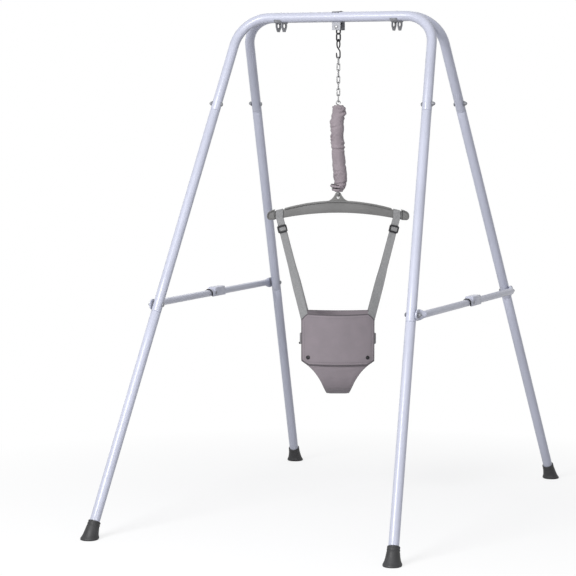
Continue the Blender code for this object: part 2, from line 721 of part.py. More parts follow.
def brace_tube_rings(length, nose):
    """Sections from the flattened, rounded end plate to the tube's other end."""
    tip = BRACE_PLATE_HEIGHT / 2
    half_plate = BRACE_PLATE_THICKNESS / 2
    rings = []
    for share in (-0.985, -0.85, -0.55, 0.0):
        rings.append(brace_ring(share * tip, PLATE_X, tip * math.sqrt(1 - share ** 2), half_plate, 5.0))
    rings.append(brace_ring(BRACE_PLATE_LENGTH, PLATE_X, tip, half_plate, 5.0))
    for share in (0.35, 0.7, 1.0):
        blend = share * share * (3 - 2 * share)
        rings.append(brace_ring(BRACE_PLATE_LENGTH + BRACE_NECK_LENGTH * share,
                                PLATE_X + (BRACE_X - PLATE_X) * blend,
                                tip + (BRACE_RADIUS - tip) * blend,
                                half_plate + (BRACE_RADIUS - half_plate) * blend, 5.0 - 3.0 * blend))
    rings.append(brace_ring(length, BRACE_X, BRACE_RADIUS, BRACE_RADIUS, 2.0))
    if nose:
        for share in (0.4, 0.7, 0.9, 0.985):
            radius = BRACE_RADIUS * math.sqrt(1 - share ** 2)
            rings.append(brace_ring(length + BRACE_RADIUS * share, BRACE_X, radius, radius, 2.0))
    return rings


def place_brace(obj, side, row, origin):
    """Mirror a brace shape, modelled on the right from a front bolt, to its side and row."""
    for vertex in obj.data.vertices:
        x, y, z = vertex.co
        vertex.co = (side * x - origin.x, row * (BRACE_HALF_LENGTH - y) - origin.y, z + BRACE_HEIGHT - origin.z)
    if side * -row < 0:
        obj.data.flip_normals()
    obj.location = origin


def cross_hole(name, diameter, centre, length):
    """The cutter for a hole along X."""
    hole = cylinder(name, diameter / 2, length, sides=SMALL_STEPS)
    hole.matrix_world = Matrix.Translation(centre) @ Matrix.Rotation(math.pi / 2, 4, "Y")
    return hole


def arch_outline(radius, skirt, steps=10):
    """A half-round top on straight sides, open or closed below: points (x, z)."""
    points = [(radius, -skirt)]
    points += [(radius * math.cos(math.pi * i / steps), radius * math.sin(math.pi * i / steps))
               for i in range(steps + 1)]
    points.append((-radius, -skirt))
    return points


def along_y(y_from, y_to, x, z):
    """Turn a slab's outline plane to X-Z and its thickness to Y, centred between two stations."""
    return Matrix.Translation((x, (y_from + y_to) / 2, z)) @ Matrix.Rotation(math.pi / 2, 4, "X")


def pin_profile(seat):
    """Half section of a pin riveted over at both ends, past the seats."""
    head = PIN_HEAD_DIAMETER / 2
    shank = PIN_DIAMETER / 2
    top = seat + PIN_HEAD_HEIGHT
    upper = [(0.0, top), (head * 0.7, top - PIN_HEAD_HEIGHT * 0.2), (head, seat), (shank, seat)]
    return upper + [(radius, -height) for radius, height in reversed(upper)]


def make_brace(side_name, side):
    """Both halves of one side brace, its pin and the nut of its rear end."""
    front_bolt = leg_point(side, -1, BRACE_HEIGHT)
    front_axis = Vector((side * BRACE_X, front_bolt.y, BRACE_HEIGHT))
    middle = Vector((side * BRACE_X, 0.0, BRACE_HEIGHT))
    rear_axis = Vector((side * BRACE_X, -front_bolt.y, BRACE_HEIGHT))

    front_pivot = pivot(side_name + "_brace_front_pivot", front_axis)
    rear_pivot_empty = pivot(side_name + "_brace_middle_pivot", middle, front_pivot)

    front = loft(side_name + "_brace_front", brace_tube_rings(BRACE_HALF_LENGTH, nose=True), POWDER_COAT)
    place_brace(front, side, -1, front_axis)
    hole_length = BRACE_DIAMETER * 3
    cut(front, cross_hole(front.name + "_bolt_hole", BOLT_DIAMETER + 2 * RUNNING_GAP, front_axis, hole_length))
    cut(front, cross_hole(front.name + "_pin_hole", PIN_DIAMETER + 2 * RUNNING_GAP, middle, hole_length))
    carry(front, front_pivot)

    rear = loft(side_name + "_brace_rear",
                brace_tube_rings(BRACE_HALF_LENGTH - KNUCKLE_SLOT_REAR, nose=False), POWDER_COAT)
    place_brace(rear, side, 1, middle)
    cut(rear, cross_hole(rear.name + "_nut_hole", BOLT_DIAMETER + 2 * RUNNING_GAP, rear_axis, hole_length))
    outer = BRACE_RADIUS + RUNNING_GAP + KNUCKLE_WALL
    lengthwise = along_y(-KNUCKLE_FRONT, KNUCKLE_REAR, middle.x, middle.z)
    housing = arch_outline(outer, KNUCKLE_SKIRT)
    join(rear, slab(rear.name + "_knuckle", housing, KNUCKLE_FRONT + KNUCKLE_REAR, None, lengthwise))
    top = BRACE_RADIUS + LOCK_RISE
    lock_outline = [(-LOCK_FRONT, 0.0), (LOCK_REAR, 0.0), (LOCK_REAR, top - LOCK_CHAMFER),
                    (LOCK_REAR - LOCK_CHAMFER, top), (-LOCK_FRONT + LOCK_CHAMFER, top),
                    (-LOCK_FRONT, top - LOCK_CHAMFER)]
    stand_up = Matrix.Rotation(math.pi / 2, 4, "Z") @ Matrix.Rotation(math.pi / 2, 4, "X")
    lock = slab(rear.name + "_lock", lock_outline, LOCK_WIDTH, None, Matrix.Translation(middle) @ stand_up)
    join(rear, lock)
    slot = BRACE_RADIUS + RUNNING_GAP
    front_cut = KNUCKLE_FRONT + CUT_MARGIN
    channel = slab(rear.name + "_channel", arch_outline(slot, KNUCKLE_SKIRT + CUT_MARGIN),
                   front_cut + KNUCKLE_SLOT_REAR - RUNNING_GAP, None,
                   along_y(-front_cut, KNUCKLE_SLOT_REAR - RUNNING_GAP, middle.x, middle.z))
    cut(rear, channel)
    cut(rear, cross_hole(rear.name + "_pin_hole", PIN_DIAMETER + 2 * RUNNING_GAP, middle, hole_length))
    carry(rear, rear_pivot_empty)

    pin = turned(side_name + "_brace_pin", pin_profile(outer + FACE_GAP), ZINC)
    pin.matrix_world = Matrix.Translation(middle) @ Matrix.Rotation(math.pi / 2, 4, "Y")
    carry(pin, rear_pivot_empty)

    plate = BRACE_PLATE_OUTER + FACE_GAP
    nut_profile = cap_nut_profile(plate) + [(BOLT_DIAMETER / 2, plate)] + spacer_profile() + [(0.0, BRACE_SEAT)]
    nut = turned(side_name + "_brace_rear_nut", nut_profile, ZINC)
    nut.matrix_world = bolt_frame(side, 1, BRACE_HEIGHT)
    carry(nut, rear_pivot_empty)


for side_name, side in SIDES:
    make_brace(side_name, side)


# Brackets between the two top tubes

UPRIGHT = Matrix.Rotation(math.pi / 2, 4, "X")
SIDEWAYS = Matrix.Rotation(math.pi / 2, 4, "Z") @ Matrix.Rotation(math.pi / 2, 4, "X")
CRADLE_INNER = TUBE_RADIUS + RUNNING_GAP


def arc(centre, radius, start, end, steps):
    """Points (y, z) on an arc, angles in degrees."""
    points = []
    for i in range(steps + 1):
        angle = math.radians(start + (end - start) * i / steps)
        points.append((centre[0] + radius * math.cos(angle), centre[1] + radius * math.sin(angle)))
    return points


def mirrored(points):
    """The points followed by their mirror images, back to front."""
    return points + [(-y, z) for y, z in reversed(points)]


def clamp_bolt(name, x, head_seat, nut_seat):
    """The upright bolt between the top tubes: flat head below, low cap nut and washer above."""
    shank = CLAMP_BOLT_DIAMETER / 2
    head = CLAMP_HEAD_DIAMETER / 2
    washer = CLAMP_WASHER_DIAMETER / 2
    base = nut_seat + WASHER_THICKNESS
    top = base + CLAMP_NUT_HEIGHT
    bottom = head_seat - CLAMP_HEAD_HEIGHT
    profile = [(0.0, top), (head * 0.8, top - CLAMP_NUT_HEIGHT * 0.3), (head, base), (washer, base),
               (washer, nut_seat), (shank, nut_seat), (shank, head_seat), (head, head_seat), (head, bottom),
               (0.0, bottom)]
    bolt = turned(name, [(radius, height - RAIL_HEIGHT) for radius, height in profile], ZINC)
    bolt.location = (x, 0.0, RAIL_HEIGHT)
    return bolt


def upright_hole(name, x, z):
    """The cutter for a clamp bolt's hole through a plate near a height."""
    hole = cylinder(name, CLAMP_BOLT_DIAMETER / 2 + RUNNING_GAP, 4 * CUT_MARGIN, sides=SMALL_STEPS)
    hole.location = (x, 0.0, z)
    return hole


def make_saddle():
    """The pressed strap over both top tubes that the clamp bolt pulls down."""
    centre = (-RAIL_HALF_SPACING, RAIL_HEIGHT)
    outer = CRADLE_INNER + SADDLE_THICKNESS
    lower = arc(centre, CRADLE_INNER, SADDLE_REACH, SADDLE_DIP, 8)
    valley = lower[-1][1] + SADDLE_THICKNESS
    upper = arc(centre, outer, SADDLE_REACH, math.degrees(math.asin((valley - RAIL_HEIGHT) / outer)), 8)
    outline = mirrored(lower) + list(reversed(mirrored(upper)))
    saddle = slab("top_saddle", outline, SADDLE_WIDTH, ZINC, SIDEWAYS)
    cut(saddle, upright_hole("top_saddle_hole", CLAMP_BOLT_OFFSET, RAIL_HEIGHT + TUBE_RADIUS))
    return valley


def make_hanger_bracket():
    """The channel under the top tubes, with a flange in front and behind for the hanger pin."""
    web_top = RAIL_HEIGHT - TUBE_RADIUS - FACE_GAP
    half = HANGER_BRACKET_DEPTH / 2
    bottom = HANGER_BRACKET_BOTTOM
    t = PLATE_THICKNESS
    outline = [(-half, bottom), (-half, web_top), (half, web_top), (half, bottom), (half - t, bottom),
               (half - t, web_top - t), (-half + t, web_top - t), (-half + t, bottom)]
    bracket = slab("hanger_bracket", outline, HANGER_BRACKET_WIDTH, ZINC, SIDEWAYS)
    cut(bracket, upright_hole("hanger_bracket_bolt_hole", CLAMP_BOLT_OFFSET, web_top))
    hole = cylinder("hanger_bracket_pin_hole", PIN_DIAMETER / 2 + RUNNING_GAP, 4 * half, sides=SMALL_STEPS)
    hole.matrix_world = Matrix.Translation((0.0, 0.0, HANGER_PIN_HEIGHT)) @ UPRIGHT
    cut(bracket, hole)
    pin = turned("hanger_pin", pin_profile(half + FACE_GAP), STEEL)
    pin.matrix_world = Matrix.Translation((0.0, 0.0, HANGER_PIN_HEIGHT)) @ UPRIGHT
    return web_top - PLATE_THICKNESS


def make_eye_bracket(side_name, side):
    """A cradle under both top tubes whose two cheeks carry slotted eyes for another swing."""
    x = side * EYE_BRACKET_X
    t = PLATE_THICKNESS
    centre = (-RAIL_HALF_SPACING, RAIL_HEIGHT)
    floor = RAIL_HEIGHT - CRADLE_INNER
    upper = arc(centre, CRADLE_INNER, CRADLE_LIP, 300.0, 10)
    lower = arc(centre, CRADLE_INNER + t, CRADLE_LIP, 262.0, 7)
    outline = mirrored(upper) + list(reversed(mirrored(lower)))
    cradle = slab(side_name + "_eye_bracket", outline, EYE_BRACKET_WIDTH, ZINC, SIDEWAYS)
    cradle.location = (x, 0.0, 0.0)
    shoulder = floor - t / 2
    half = EYE_SIZE[0] / 2 + EYE_SIDE_EDGE
    flank = [(step - half, shoulder - (shoulder - EYE_BRACKET_BOTTOM) * share) for share, step in EYE_TAB_FLANK]
    tab_outline = mirrored(flank + [(-EYE_TAB_FOOT_HALF_DEPTH, EYE_BRACKET_BOTTOM)])
    for index, edge in enumerate((-1, 1)):
        tab_x = edge * ((EYE_BRACKET_WIDTH - t) / 2 - FACE_GAP)
        tab = slab("%s_tab_%d" % (cradle.name, index), tab_outline, t, None, SIDEWAYS)
        tab.location = (x + tab_x, 0.0, 0.0)
        join(cradle, tab)
    width, height = EYE_SIZE
    eye = slab(cradle.name + "_eye", stadium(height, width, 6), EYE_BRACKET_WIDTH + 2 * CUT_MARGIN, None,
               SIDEWAYS @ Matrix.Rotation(math.pi / 2, 4, "Z"))
    eye.location = (x, 0.0, EYE_HEIGHT)
    cut(cradle, eye)
    web = upper[-1][1]
    cut(cradle, upright_hole(cradle.name + "_bolt_hole", x, web))
    across = RAIL_HALF_SPACING - WASHER_DIAMETER / 2
    nut_seat = RAIL_HEIGHT + math.sqrt(TUBE_RADIUS ** 2 - across ** 2) + FACE_GAP
    clamp_bolt(side_name + "_eye_bolt", x, lower[-1][1] - FACE_GAP, nut_seat)


saddle_top = make_saddle()
web_underside = make_hanger_bracket()
clamp_bolt("clamp_bolt", CLAMP_BOLT_OFFSET, web_underside - FACE_GAP, saddle_top + FACE_GAP)
for side_name, side in SIDES:
    make_eye_bracket(side_name, side)


# Hanging line: link, hook and chain

def upright_link(name, width, top, bottom, diameter, surface, turn, resolution=1, arc_steps=4):
    """A closed link between two wire-centre heights; turn 0 lies in X-Z, in degrees about Z."""
    middle = (top + bottom) / 2
    points = [(x, 0.0, z) for x, z in stadium(width, top - bottom, arc_steps)]
    link = wire(name, points, diameter, surface, cyclic=True, resolution=resolution)
    link.location = (0.0, 0.0, middle)
    link.rotation_euler = (0.0, 0.0, math.radians(turn))
    return link


link_top = HANGER_PIN_HEIGHT + PIN_DIAMETER / 2 + WIRE_GAP + LINK_WIRE / 2
link_bottom = LINK_BOTTOM + LINK_WIRE / 2
link_width = LINK_WIDTH - LINK_WIRE
overlap = LINK_WIRE / 6
swing_pivot = pivot("swing_link_pivot", (0.0, 0.0, HANGER_PIN_HEIGHT))
eight = upright_link("figure_eight_link", link_width, link_top, LINK_WAIST_HEIGHT - overlap, LINK_WIRE,
                     BLACK_STEEL, 0.0, 2)
lower_loop = upright_link("figure_eight_lower_loop", link_width * 0.97, LINK_WAIST_HEIGHT + overlap,
                          link_bottom, LINK_WIRE, None, 0.0, 3)
waist = cylinder("figure_eight_waist", LINK_WIRE * 0.47, LINK_WIRE * 1.3)
waist.matrix_world = Matrix.Translation((0.0, 0.0, LINK_WAIST_HEIGHT)) @ Matrix.Rotation(math.pi / 2, 4, "Y")
join(eight, lower_loop)
join(eight, waist)
carry(eight, swing_pivot)


def eye_points(radius, centre_z, steps=9):
    """An open eye in X-Z, from its tip up over the top and round to its lowest point."""
    points = []
    for i in range(steps + 1):
        angle = math.radians(60.0 + 300.0 * i / steps)
        points.append((radius * math.sin(angle), 0.0, centre_z - radius * math.cos(angle)))
    return points


hook_top = link_bottom + LINK_WIRE / 2 + WIRE_GAP + HOOK_WIRE / 2
hook_pivot = pivot("swing_hook_pivot", (0.0, 0.0, link_bottom), swing_pivot)
hook_centre = HOOK_BOTTOM + HOOK_WIRE / 2 + HOOK_BEND_RADIUS
hook_eye_bottom = hook_top - 2 * HOOK_EYE_RADIUS
hook_path = [(0.0, x, z) for x, _, z in eye_points(HOOK_EYE_RADIUS, hook_top - HOOK_EYE_RADIUS)]
shank_drop = hook_eye_bottom - hook_centre
hook_knots = [hook_path[-1], (HOOK_BEND_RADIUS * 0.6, HOOK_WIRE * 0.4, hook_eye_bottom - shank_drop * 0.2),
              (HOOK_BEND_RADIUS, 0.0, hook_eye_bottom - shank_drop * 0.5), (HOOK_BEND_RADIUS, 0.0, hook_centre)]
hook_path += [tuple(point) for point in smooth_path(hook_knots, 3)[1:]]
for i in range(1, 8):
    angle = math.pi * i / 7
    across, down = HOOK_BEND_RADIUS * math.cos(angle), HOOK_BEND_RADIUS * math.sin(angle)
    hook_path.append((across, 0.0, hook_centre - down))
hook_path.append((-HOOK_BEND_RADIUS * 1.15, 0.0, HOOK_TIP_HEIGHT))
carry(wire("s_hook", hook_path, HOOK_WIRE, BLACK_STEEL), hook_pivot)

for index in range(CHAIN_LINKS):
    top = CHAIN_TOP - CHAIN_PITCH * index
    quarter = 90.0 if index % 2 == 0 else 0.0
    turn = quarter + JUMPER_TURN * (index + 1) / (CHAIN_LINKS + 1)
    carry(upright_link("chain_link_%d" % (index + 1), CHAIN_WIDTH - CHAIN_WIRE, top, top - CHAIN_LINK_HEIGHT,
                       CHAIN_WIRE, STEEL, turn), hook_pivot)


# The jumper faces its own front: everything below hangs in a frame turned about Z

jumper = pivot("jumper_turn", (0.0, 0.0, 0.0), None, Matrix.Rotation(math.radians(JUMPER_TURN), 4, "Z"))


def hang(obj, holder=None):
    """Turn a piece and its cutters with the jumper, and let its own pivot carry it."""
    for modifier in obj.modifiers:
        if modifier.type == "BOOLEAN":
            modifier.object.parent = jumper
    obj.parent = jumper
    if holder is not None:
        carry(obj, holder)
    return obj


def hung_pivot(name, location, parent=None):
    """A pivot placed in the jumper's own frame."""
    empty = pivot(name, location)
    empty.parent = jumper
    if parent is not None:
        carry(empty, parent)
    return empty


# Spring, sleeve and ring

spring_pivot = hung_pivot("spring_swivel_pivot", (0.0, 0.0, SPRING_TOP))
bounce_pivot = hung_pivot("bounce_pivot", (0.0, 0.0, RING_TOP), spring_pivot)
hanger_pivot = hung_pivot("hanger_pivot", (0.0, 0.0, EAR_HOLE_HEIGHT), bounce_pivot)


def make_spring():
    """One unbroken wire: top eye, open coils, bottom eye."""
    top_centre = SPRING_TOP - SPRING_EYE_RADIUS
    bottom_centre = SPRING_BOTTOM + SPRING_EYE_RADIUS
    coil_top = top_centre - SPRING_EYE_DROP
    coil_bottom = bottom_centre + SPRING_EYE_DROP
    head = eye_points(SPRING_EYE_RADIUS, top_centre)
    tail = [(-x, y, bottom_centre + top_centre - z) for x, y, z in reversed(head)]
    turns = SPRING_CURLS - 0.5
    count = round(turns * COIL_POINTS)
    coil = []
    for i in range(count + 1):
        angle = 2 * math.pi * turns * i / count
        height = coil_top + (coil_bottom - coil_top) * i / count
        coil.append((SPRING_RADIUS * math.cos(angle), SPRING_RADIUS * math.sin(angle), height))
    run_in = (SPRING_RADIUS * 0.55, -SPRING_RADIUS * 0.12, head[-1][2] - SPRING_EYE_DROP * 0.22)
    run_out = (-SPRING_RADIUS * 0.55, SPRING_RADIUS * 0.12, tail[0][2] + SPRING_EYE_DROP * 0.22)
    path = head + [run_in] + coil + [run_out] + tail
    spring = wire("spring", path, SPRING_WIRE, STEEL, resolution=1)
    hang(spring, spring_pivot)
    return path


def least_self_gap(path, diameter):
    """The least free distance between parts of a wire that aren't neighbours along it."""
    points = [Vector(point) for point in path]
    reach = 4
    least = 1.0
    for i, point in enumerate(points):
        for other in points[i + reach:]:
            least = min(least, (point - other).length)
    return least - diameter


spring_path = make_spring()
print("spring self gap %.4f m" % least_self_gap(spring_path, SPRING_WIRE))


def sleeve_radius(share, angle):
    """Outer radius of the gathered sleeve, share 0 at its top and 1 at its bottom."""
    neck = min(share, 1.0 - share) / 0.045
    body = min(1.0, neck) ** 0.5
    end = SLEEVE_NECK_RADIUS
    fold = SLEEVE_FOLD * math.sin(2 * math.pi * SLEEVE_FOLDS * share + 0.9 * math.sin(angle + 5.0 * share))
    return end + (SLEEVE_RADIUS - end + fold) * body


def make_sleeve():
    """A gathered fabric tube, open at both ends, loose round the spring."""
    length = SLEEVE_TOP - SLEEVE_BOTTOM
    outer, inner = [], []
    for j in range(SLEEVE_RINGS + 1):
        share = j / SLEEVE_RINGS
        for wall, rings in ((0.0, outer), (SLEEVE_WALL, inner)):
            ring = []
            for i in range(SLEEVE_SIDES):
                angle = 2 * math.pi * i / SLEEVE_SIDES
                radius = sleeve_radius(share, angle) - wall
                ring.append((radius * math.cos(angle), radius * math.sin(angle), -length * share))
            rings.append(ring)
    sleeve = loft("spring_sleeve", outer + list(reversed(inner)), SLEEVE_CLOTH, ring_closed=True)
    sleeve.location = (0.0, 0.0, SLEEVE_TOP)
    hang(sleeve, spring_pivot)


make_sleeve()
hang(upright_link("spring_ring", RING_WIDTH, RING_TOP, RING_BOTTOM, RING_WIRE, STEEL, 90.0, 2, 8), bounce_pivot)


# Hanger bar

def bar_top(x):
    """The bar's upper edge: an arch that ends in the lug's top corner."""
    if abs(x) <= BAR_ARCH_HALF_LENGTH:
        return BAR_TOP - x * x / (2 * BAR_TOP_ARCH_RADIUS)
    edge = BAR_TOP - BAR_ARCH_HALF_LENGTH ** 2 / (2 * BAR_TOP_ARCH_RADIUS)
    share = (abs(x) - BAR_ARCH_HALF_LENGTH) / (LUG_START - BAR_ARCH_HALF_LENGTH)
    return edge + (LUG_TOP - edge) * min(1.0, share)


def bar_bottom(x):
    """The bar's lower edge."""
    return max(LUG_BOTTOM, BAR_BOTTOM - x * x / (2 * BAR_BOTTOM_ARCH_RADIUS))


def strap_seat(x):
    """The sloping seat that each strap is folded over."""
    return STRAP_SEAT_TOP - (abs(x) - STRAP_SEAT_START) * math.tan(math.radians(STRAP_LEAN))


def make_bar():
    """The moulded bar: a web, a wider rim along its top, an end lug on each side and an ear."""
    steps = 12
    arch = [-BAR_ARCH_HALF_LENGTH + 2 * BAR_ARCH_HALF_LENGTH * i / steps for i in range(steps + 1)]
    seat_out = LUG_START + BAR_WEB_WIDTH / 4
    lower = [(x, bar_bottom(x)) for x in arch]
    under_lug = (LUG_START, bar_bottom(LUG_START) + FACE_GAP), (seat_out, bar_bottom(LUG_START) + BAR_RIM / 2)
    lower = [(-x, z) for x, z in reversed(under_lug)] + lower + list(under_lug)
    rim_end = BAR_ARCH_HALF_LENGTH - BAR_RIM
    right = [(seat_out, strap_seat(LUG_START) - FACE_GAP), (STRAP_SEAT_START, STRAP_SEAT_TOP),
             (rim_end, bar_top(rim_end) - BAR_RIM / 2)]
    upper = right + [(x, bar_top(x) - BAR_RIM / 2) for x in reversed(arch[1:-1])]
    upper += [(-x, z) for x, z in reversed(right)]
    bar = slab("hanger_bar", lower + upper, BAR_WEB_WIDTH, GREY_PLASTIC, UPRIGHT)
    rim_top = [(x, bar_top(x)) for x in arch]
    rim_bottom = [(x, z - BAR_RIM) for x, z in reversed(rim_top)]
    join(bar, slab("hanger_bar_rim", rim_top + rim_bottom, BAR_WIDTH, None, UPRIGHT))
    for side_name, side in SIDES:
        lug = [(side * (LUG_START + (BAR_HALF_LENGTH - LUG_START) * out), LUG_BOTTOM + LUG_HEIGHT * rise)
               for out, rise in LUG_OUTLINE]
        join(bar, slab("hanger_bar_lug_" + side_name, lug, BAR_WIDTH, None, UPRIGHT))
    ear_half = [(EAR_HALF_BASE, BAR_TOP - BAR_RIM)]
    ear_half += [(EAR_HALF_BASE * share, BAR_TOP + rise) for share, rise in EAR_FLANK]
    ear_half += [(EAR_SHOULDER * share, EAR_APEX - drop) for share, drop in EAR_CROWN]
    join(bar, slab("hanger_bar_ear", mirrored(ear_half), EAR_THICKNESS, None, UPRIGHT))
    hole = cylinder("hanger_bar_hole", EAR_HOLE_DIAMETER / 2, BAR_WIDTH * 2)
    hole.matrix_world = Matrix.Translation((0.0, 0.0, EAR_HOLE_HEIGHT)) @ UPRIGHT
    cut(bar, hole)
    hang(bar, hanger_pivot)


make_bar()


# Straps: each runs from the chest panel up over the bar and down to the back panel

PANEL_DEPTH = SEAT_HALF_DEPTH - FLAP_THICKNESS - FLAP_GAP


def panel_y(x, depth):
    """How far forward a bowed panel of a given middle depth lies at x, as a positive distance."""
    return depth - SEAT_CURVE_DEPTH * (x / SEAT_HALF_WIDTH) ** 2


def strap_line(height):
    """Where a strap's middle runs at a height: its x and its distance from the middle plane."""
    lean = (STRAP_BAR_X - STRAP_SEAT_X) / (STRAP_SEAT_BEND - STRAP_END_HEIGHT)
    x = STRAP_BAR_X + (height - STRAP_SEAT_BEND) * lean
    near_bar = BAR_WEB_WIDTH / 2 + STRAP_BAR_GAP + STRAP_THICKNESS / 2
    low_x = STRAP_BAR_X + (min(height, SEAT_TOP) - STRAP_SEAT_BEND) * lean
    panel = panel_y(low_x, PANEL_DEPTH) + FACE_GAP + STRAP_PANEL_GAP + STRAP_THICKNESS / 2
    share = (height - SEAT_TOP) / (STRAP_SEAT_BEND - SEAT_TOP)
    return x, panel + (near_bar - panel) * max(0.0, min(1.0, share))


def make_strap(side_name, side):
    """One band of webbing, folded over the bar and twisted flat against both panels."""
    lean = math.radians(STRAP_LEAN)
    up = Vector((math.sin(lean), 0.0, math.cos(lean)))
    at_bar = Vector((math.cos(lean), 0.0, -math.sin(lean)))
    slope = 2 * SEAT_CURVE_DEPTH * STRAP_SEAT_X / SEAT_HALF_WIDTH ** 2
    at_seat = Vector((math.cos(lean), slope, -math.sin(lean))).normalized()
    step = (STRAP_TWIST_END - SEAT_TOP) / (len(STRAP_TWIST) + 1)
    turns = [(STRAP_END_HEIGHT, 1.0), (SEAT_TOP, 1.0)]
    turns += [(SEAT_TOP + step * (i + 1), twist) for i, twist in enumerate(STRAP_TWIST)]
    turns += [(STRAP_TWIST_END, 0.0), (STRAP_SEAT_BEND, 0.0)]
    half_run = []
    for height, twist in turns:
        x, depth = strap_line(height)
        half_run.append((Vector((x, -depth, height)), at_seat * twist + at_bar * (1.0 - twist)))
    corner_radius = STRAP_BAR_GAP + STRAP_THICKNESS / 2
    top = Vector((STRAP_BAR_X, 0.0, strap_seat(STRAP_BAR_X)))
    for degrees in (0.0, 45.0, 90.0):
        angle = math.radians(degrees)
        depth = BAR_WEB_WIDTH / 2 + corner_radius * math.cos(angle)
        half_run.append((top + up * corner_radius * math.sin(angle) - Vector((0.0, depth, 0.0)), at_bar))
    back_run = [(Vector((c.x, -c.y, c.z)), Vector((w.x, -w.y, w.z))) for c, w in reversed(half_run)]
    stations = half_run + back_run
    rings = []
    for i, (centre, width) in enumerate(stations):
        ahead = stations[min(i + 1, len(stations) - 1)][0]
        behind = stations[max(i - 1, 0)][0]
        along = (ahead - behind).normalized()
        width = (width - along * along.dot(width)).normalized() * STRAP_WIDTH / 2
        face = along.cross(width).normalized() * STRAP_THICKNESS / 2
        ring = [centre + width + face, centre - width + face, centre - width - face, centre + width - face]
        rings.append([(side * point.x, point.y, point.z) for point in ring])
    hang(loft(side_name + "_strap", rings, WEBBING), hanger_pivot)


def make_slider(side_name, side):
    """A ladder-lock adjuster: two rails, two bars in front of the strap and one behind it."""
    x, depth = strap_line(SLIDER_HEIGHT)
    ahead_x, ahead_depth = strap_line(SLIDER_HEIGHT + CUT_MARGIN)
    along = Vector((ahead_x - x, depth - ahead_depth, CUT_MARGIN)).normalized()
    lean = math.radians(STRAP_LEAN)
    width = Vector((math.cos(lean), 0.0, -math.sin(lean)))
    width = (width - along * along.dot(width)).normalized()
    frame = Matrix((width, along.cross(width), along)).transposed().to_4x4()
    if side < 0:
        flip = Matrix.Scale(-1.0, 4, (1.0, 0.0, 0.0))
        frame = flip @ frame @ flip
    frame = Matrix.Translation((side * x, -depth, SLIDER_HEIGHT)) @ frame
    half_width, half_height = SLIDER_SIZE[0] / 2, SLIDER_SIZE[1] / 2
    slot = STRAP_WIDTH / 2 + 2 * STRAP_BAR_GAP
    clear = STRAP_THICKNESS / 2 + STRAP_BAR_GAP
    depth = SLIDER_DEPTH / 2
    boxes = (
        ((-half_width, -depth, -half_height), (-slot, depth, half_height)),
        ((slot, -depth, -half_height), (half_width, depth, half_height)),
        ((-half_width, -depth, half_height - SLIDER_BAR), (half_width, -clear, half_height)),
        ((-half_width, -depth, -half_height), (half_width, -clear, -half_height + SLIDER_BAR)),
        ((-half_width, clear, -SLIDER_BAR / 2), (half_width, depth, SLIDER_BAR / 2)),
    )
    name = side_name + "_strap_adjuster"
    slider = block(name, *boxes[0], BLACK_PLASTIC)
    slider.matrix_world = frame
    for index, (low, high) in enumerate(boxes[1:]):
        other = block("%s_bar_%d" % (name, index), low, high)
        other.matrix_world = frame
        join(slider, other)
    slider_pivot = hung_pivot(side_name + "_adjuster_slide", (side * x, 0.0, SLIDER_HEIGHT), hanger_pivot)
    hang(slider, slider_pivot)


for side_name, side in SIDES:
    make_strap(side_name, side)
    make_slider(side_name, side)


# Seat

def spread(half_width, columns=8):
    """Evenly spaced stations across a strip."""
    return [-half_width + 2 * half_width * i / columns for i in range(columns + 1)]


def bowed_ring(half_width, depth, thickness, height):
    """A bowed strip's section at a height: its outer face, then its inner face back again."""
    outer = [(x, -panel_y(x, depth), height) for x in spread(half_width)]
    inner = [(x, y + thickness, height) for x, y, height in reversed(outer)]
    return outer + inner


def make_seat():
    """The bucket: a front and a back panel, joined under the crotch and by a band at each side."""
    half = []
    for drop, half_width in SEAT_PANEL:
        outer = [(x, panel_y(x, PANEL_DEPTH), SEAT_TOP - drop) for x in spread(half_width)]
        half.append((outer, [(0.0, 1.0)] * len(outer)))
    for drop, half_width, depth, lean in SEAT_CROTCH:
        tilt = math.radians(lean)
        bow = SEAT_CURVE_DEPTH * math.cos(tilt) / SEAT_HALF_WIDTH ** 2
        outer = [(x, depth - bow * x * x, SEAT_TOP - PANEL_HEM_DROP - drop) for x in spread(half_width)]
        half.append((outer, [(-math.sin(tilt), math.cos(tilt))] * len(outer)))
    sections = half + [mirror_section(section) for section in reversed(half)]
    rings = []
    for outer, normal in sections:
        face = [(x, -depth, height) for x, depth, height in outer]
        back = [(x, -depth + n[1] * SEAT_THICKNESS, height - n[0] * SEAT_THICKNESS)
                for (x, depth, height), n in zip(outer, normal)]
        rings.append(face + list(reversed(back)))
    seat = loft("seat", rings, SEAT_CLOTH)
    for side_name, side in SIDES:
        join(seat, make_side_band(side_name, side))
    hang(seat, hanger_pivot)


def mirror_section(section):
    """A seat section moved from the front to the back."""
    outer, normal = section
    return [(x, -depth, height) for x, depth, height in outer], [(n[0], -n[1]) for n in normal]


def make_side_band(side_name, side):
    """The band past the child's hip from the front panel to the back panel."""
    end = panel_y(SEAT_HALF_WIDTH, PANEL_DEPTH) - SEAT_THICKNESS / 2
    half = SIDE_BAND_WIDTH / 2
    rings = []
    for i in range(9):
        y = -end + 2 * end * i / 8
        x = SEAT_HALF_WIDTH - SEAT_THICKNESS + SIDE_BAND_BULGE * (1 - (y / end) ** 2)
        inner, outer = x - SEAT_THICKNESS / 2, x + SEAT_THICKNESS / 2
        rings.append([(side * px, y, SIDE_BAND_HEIGHT + pz)
                      for px, pz in ((inner, -half), (outer, -half), (outer, half), (inner, half))])
    return loft("seat_band_" + side_name, rings, None)


make_seat()


# Chest flap and its press studs

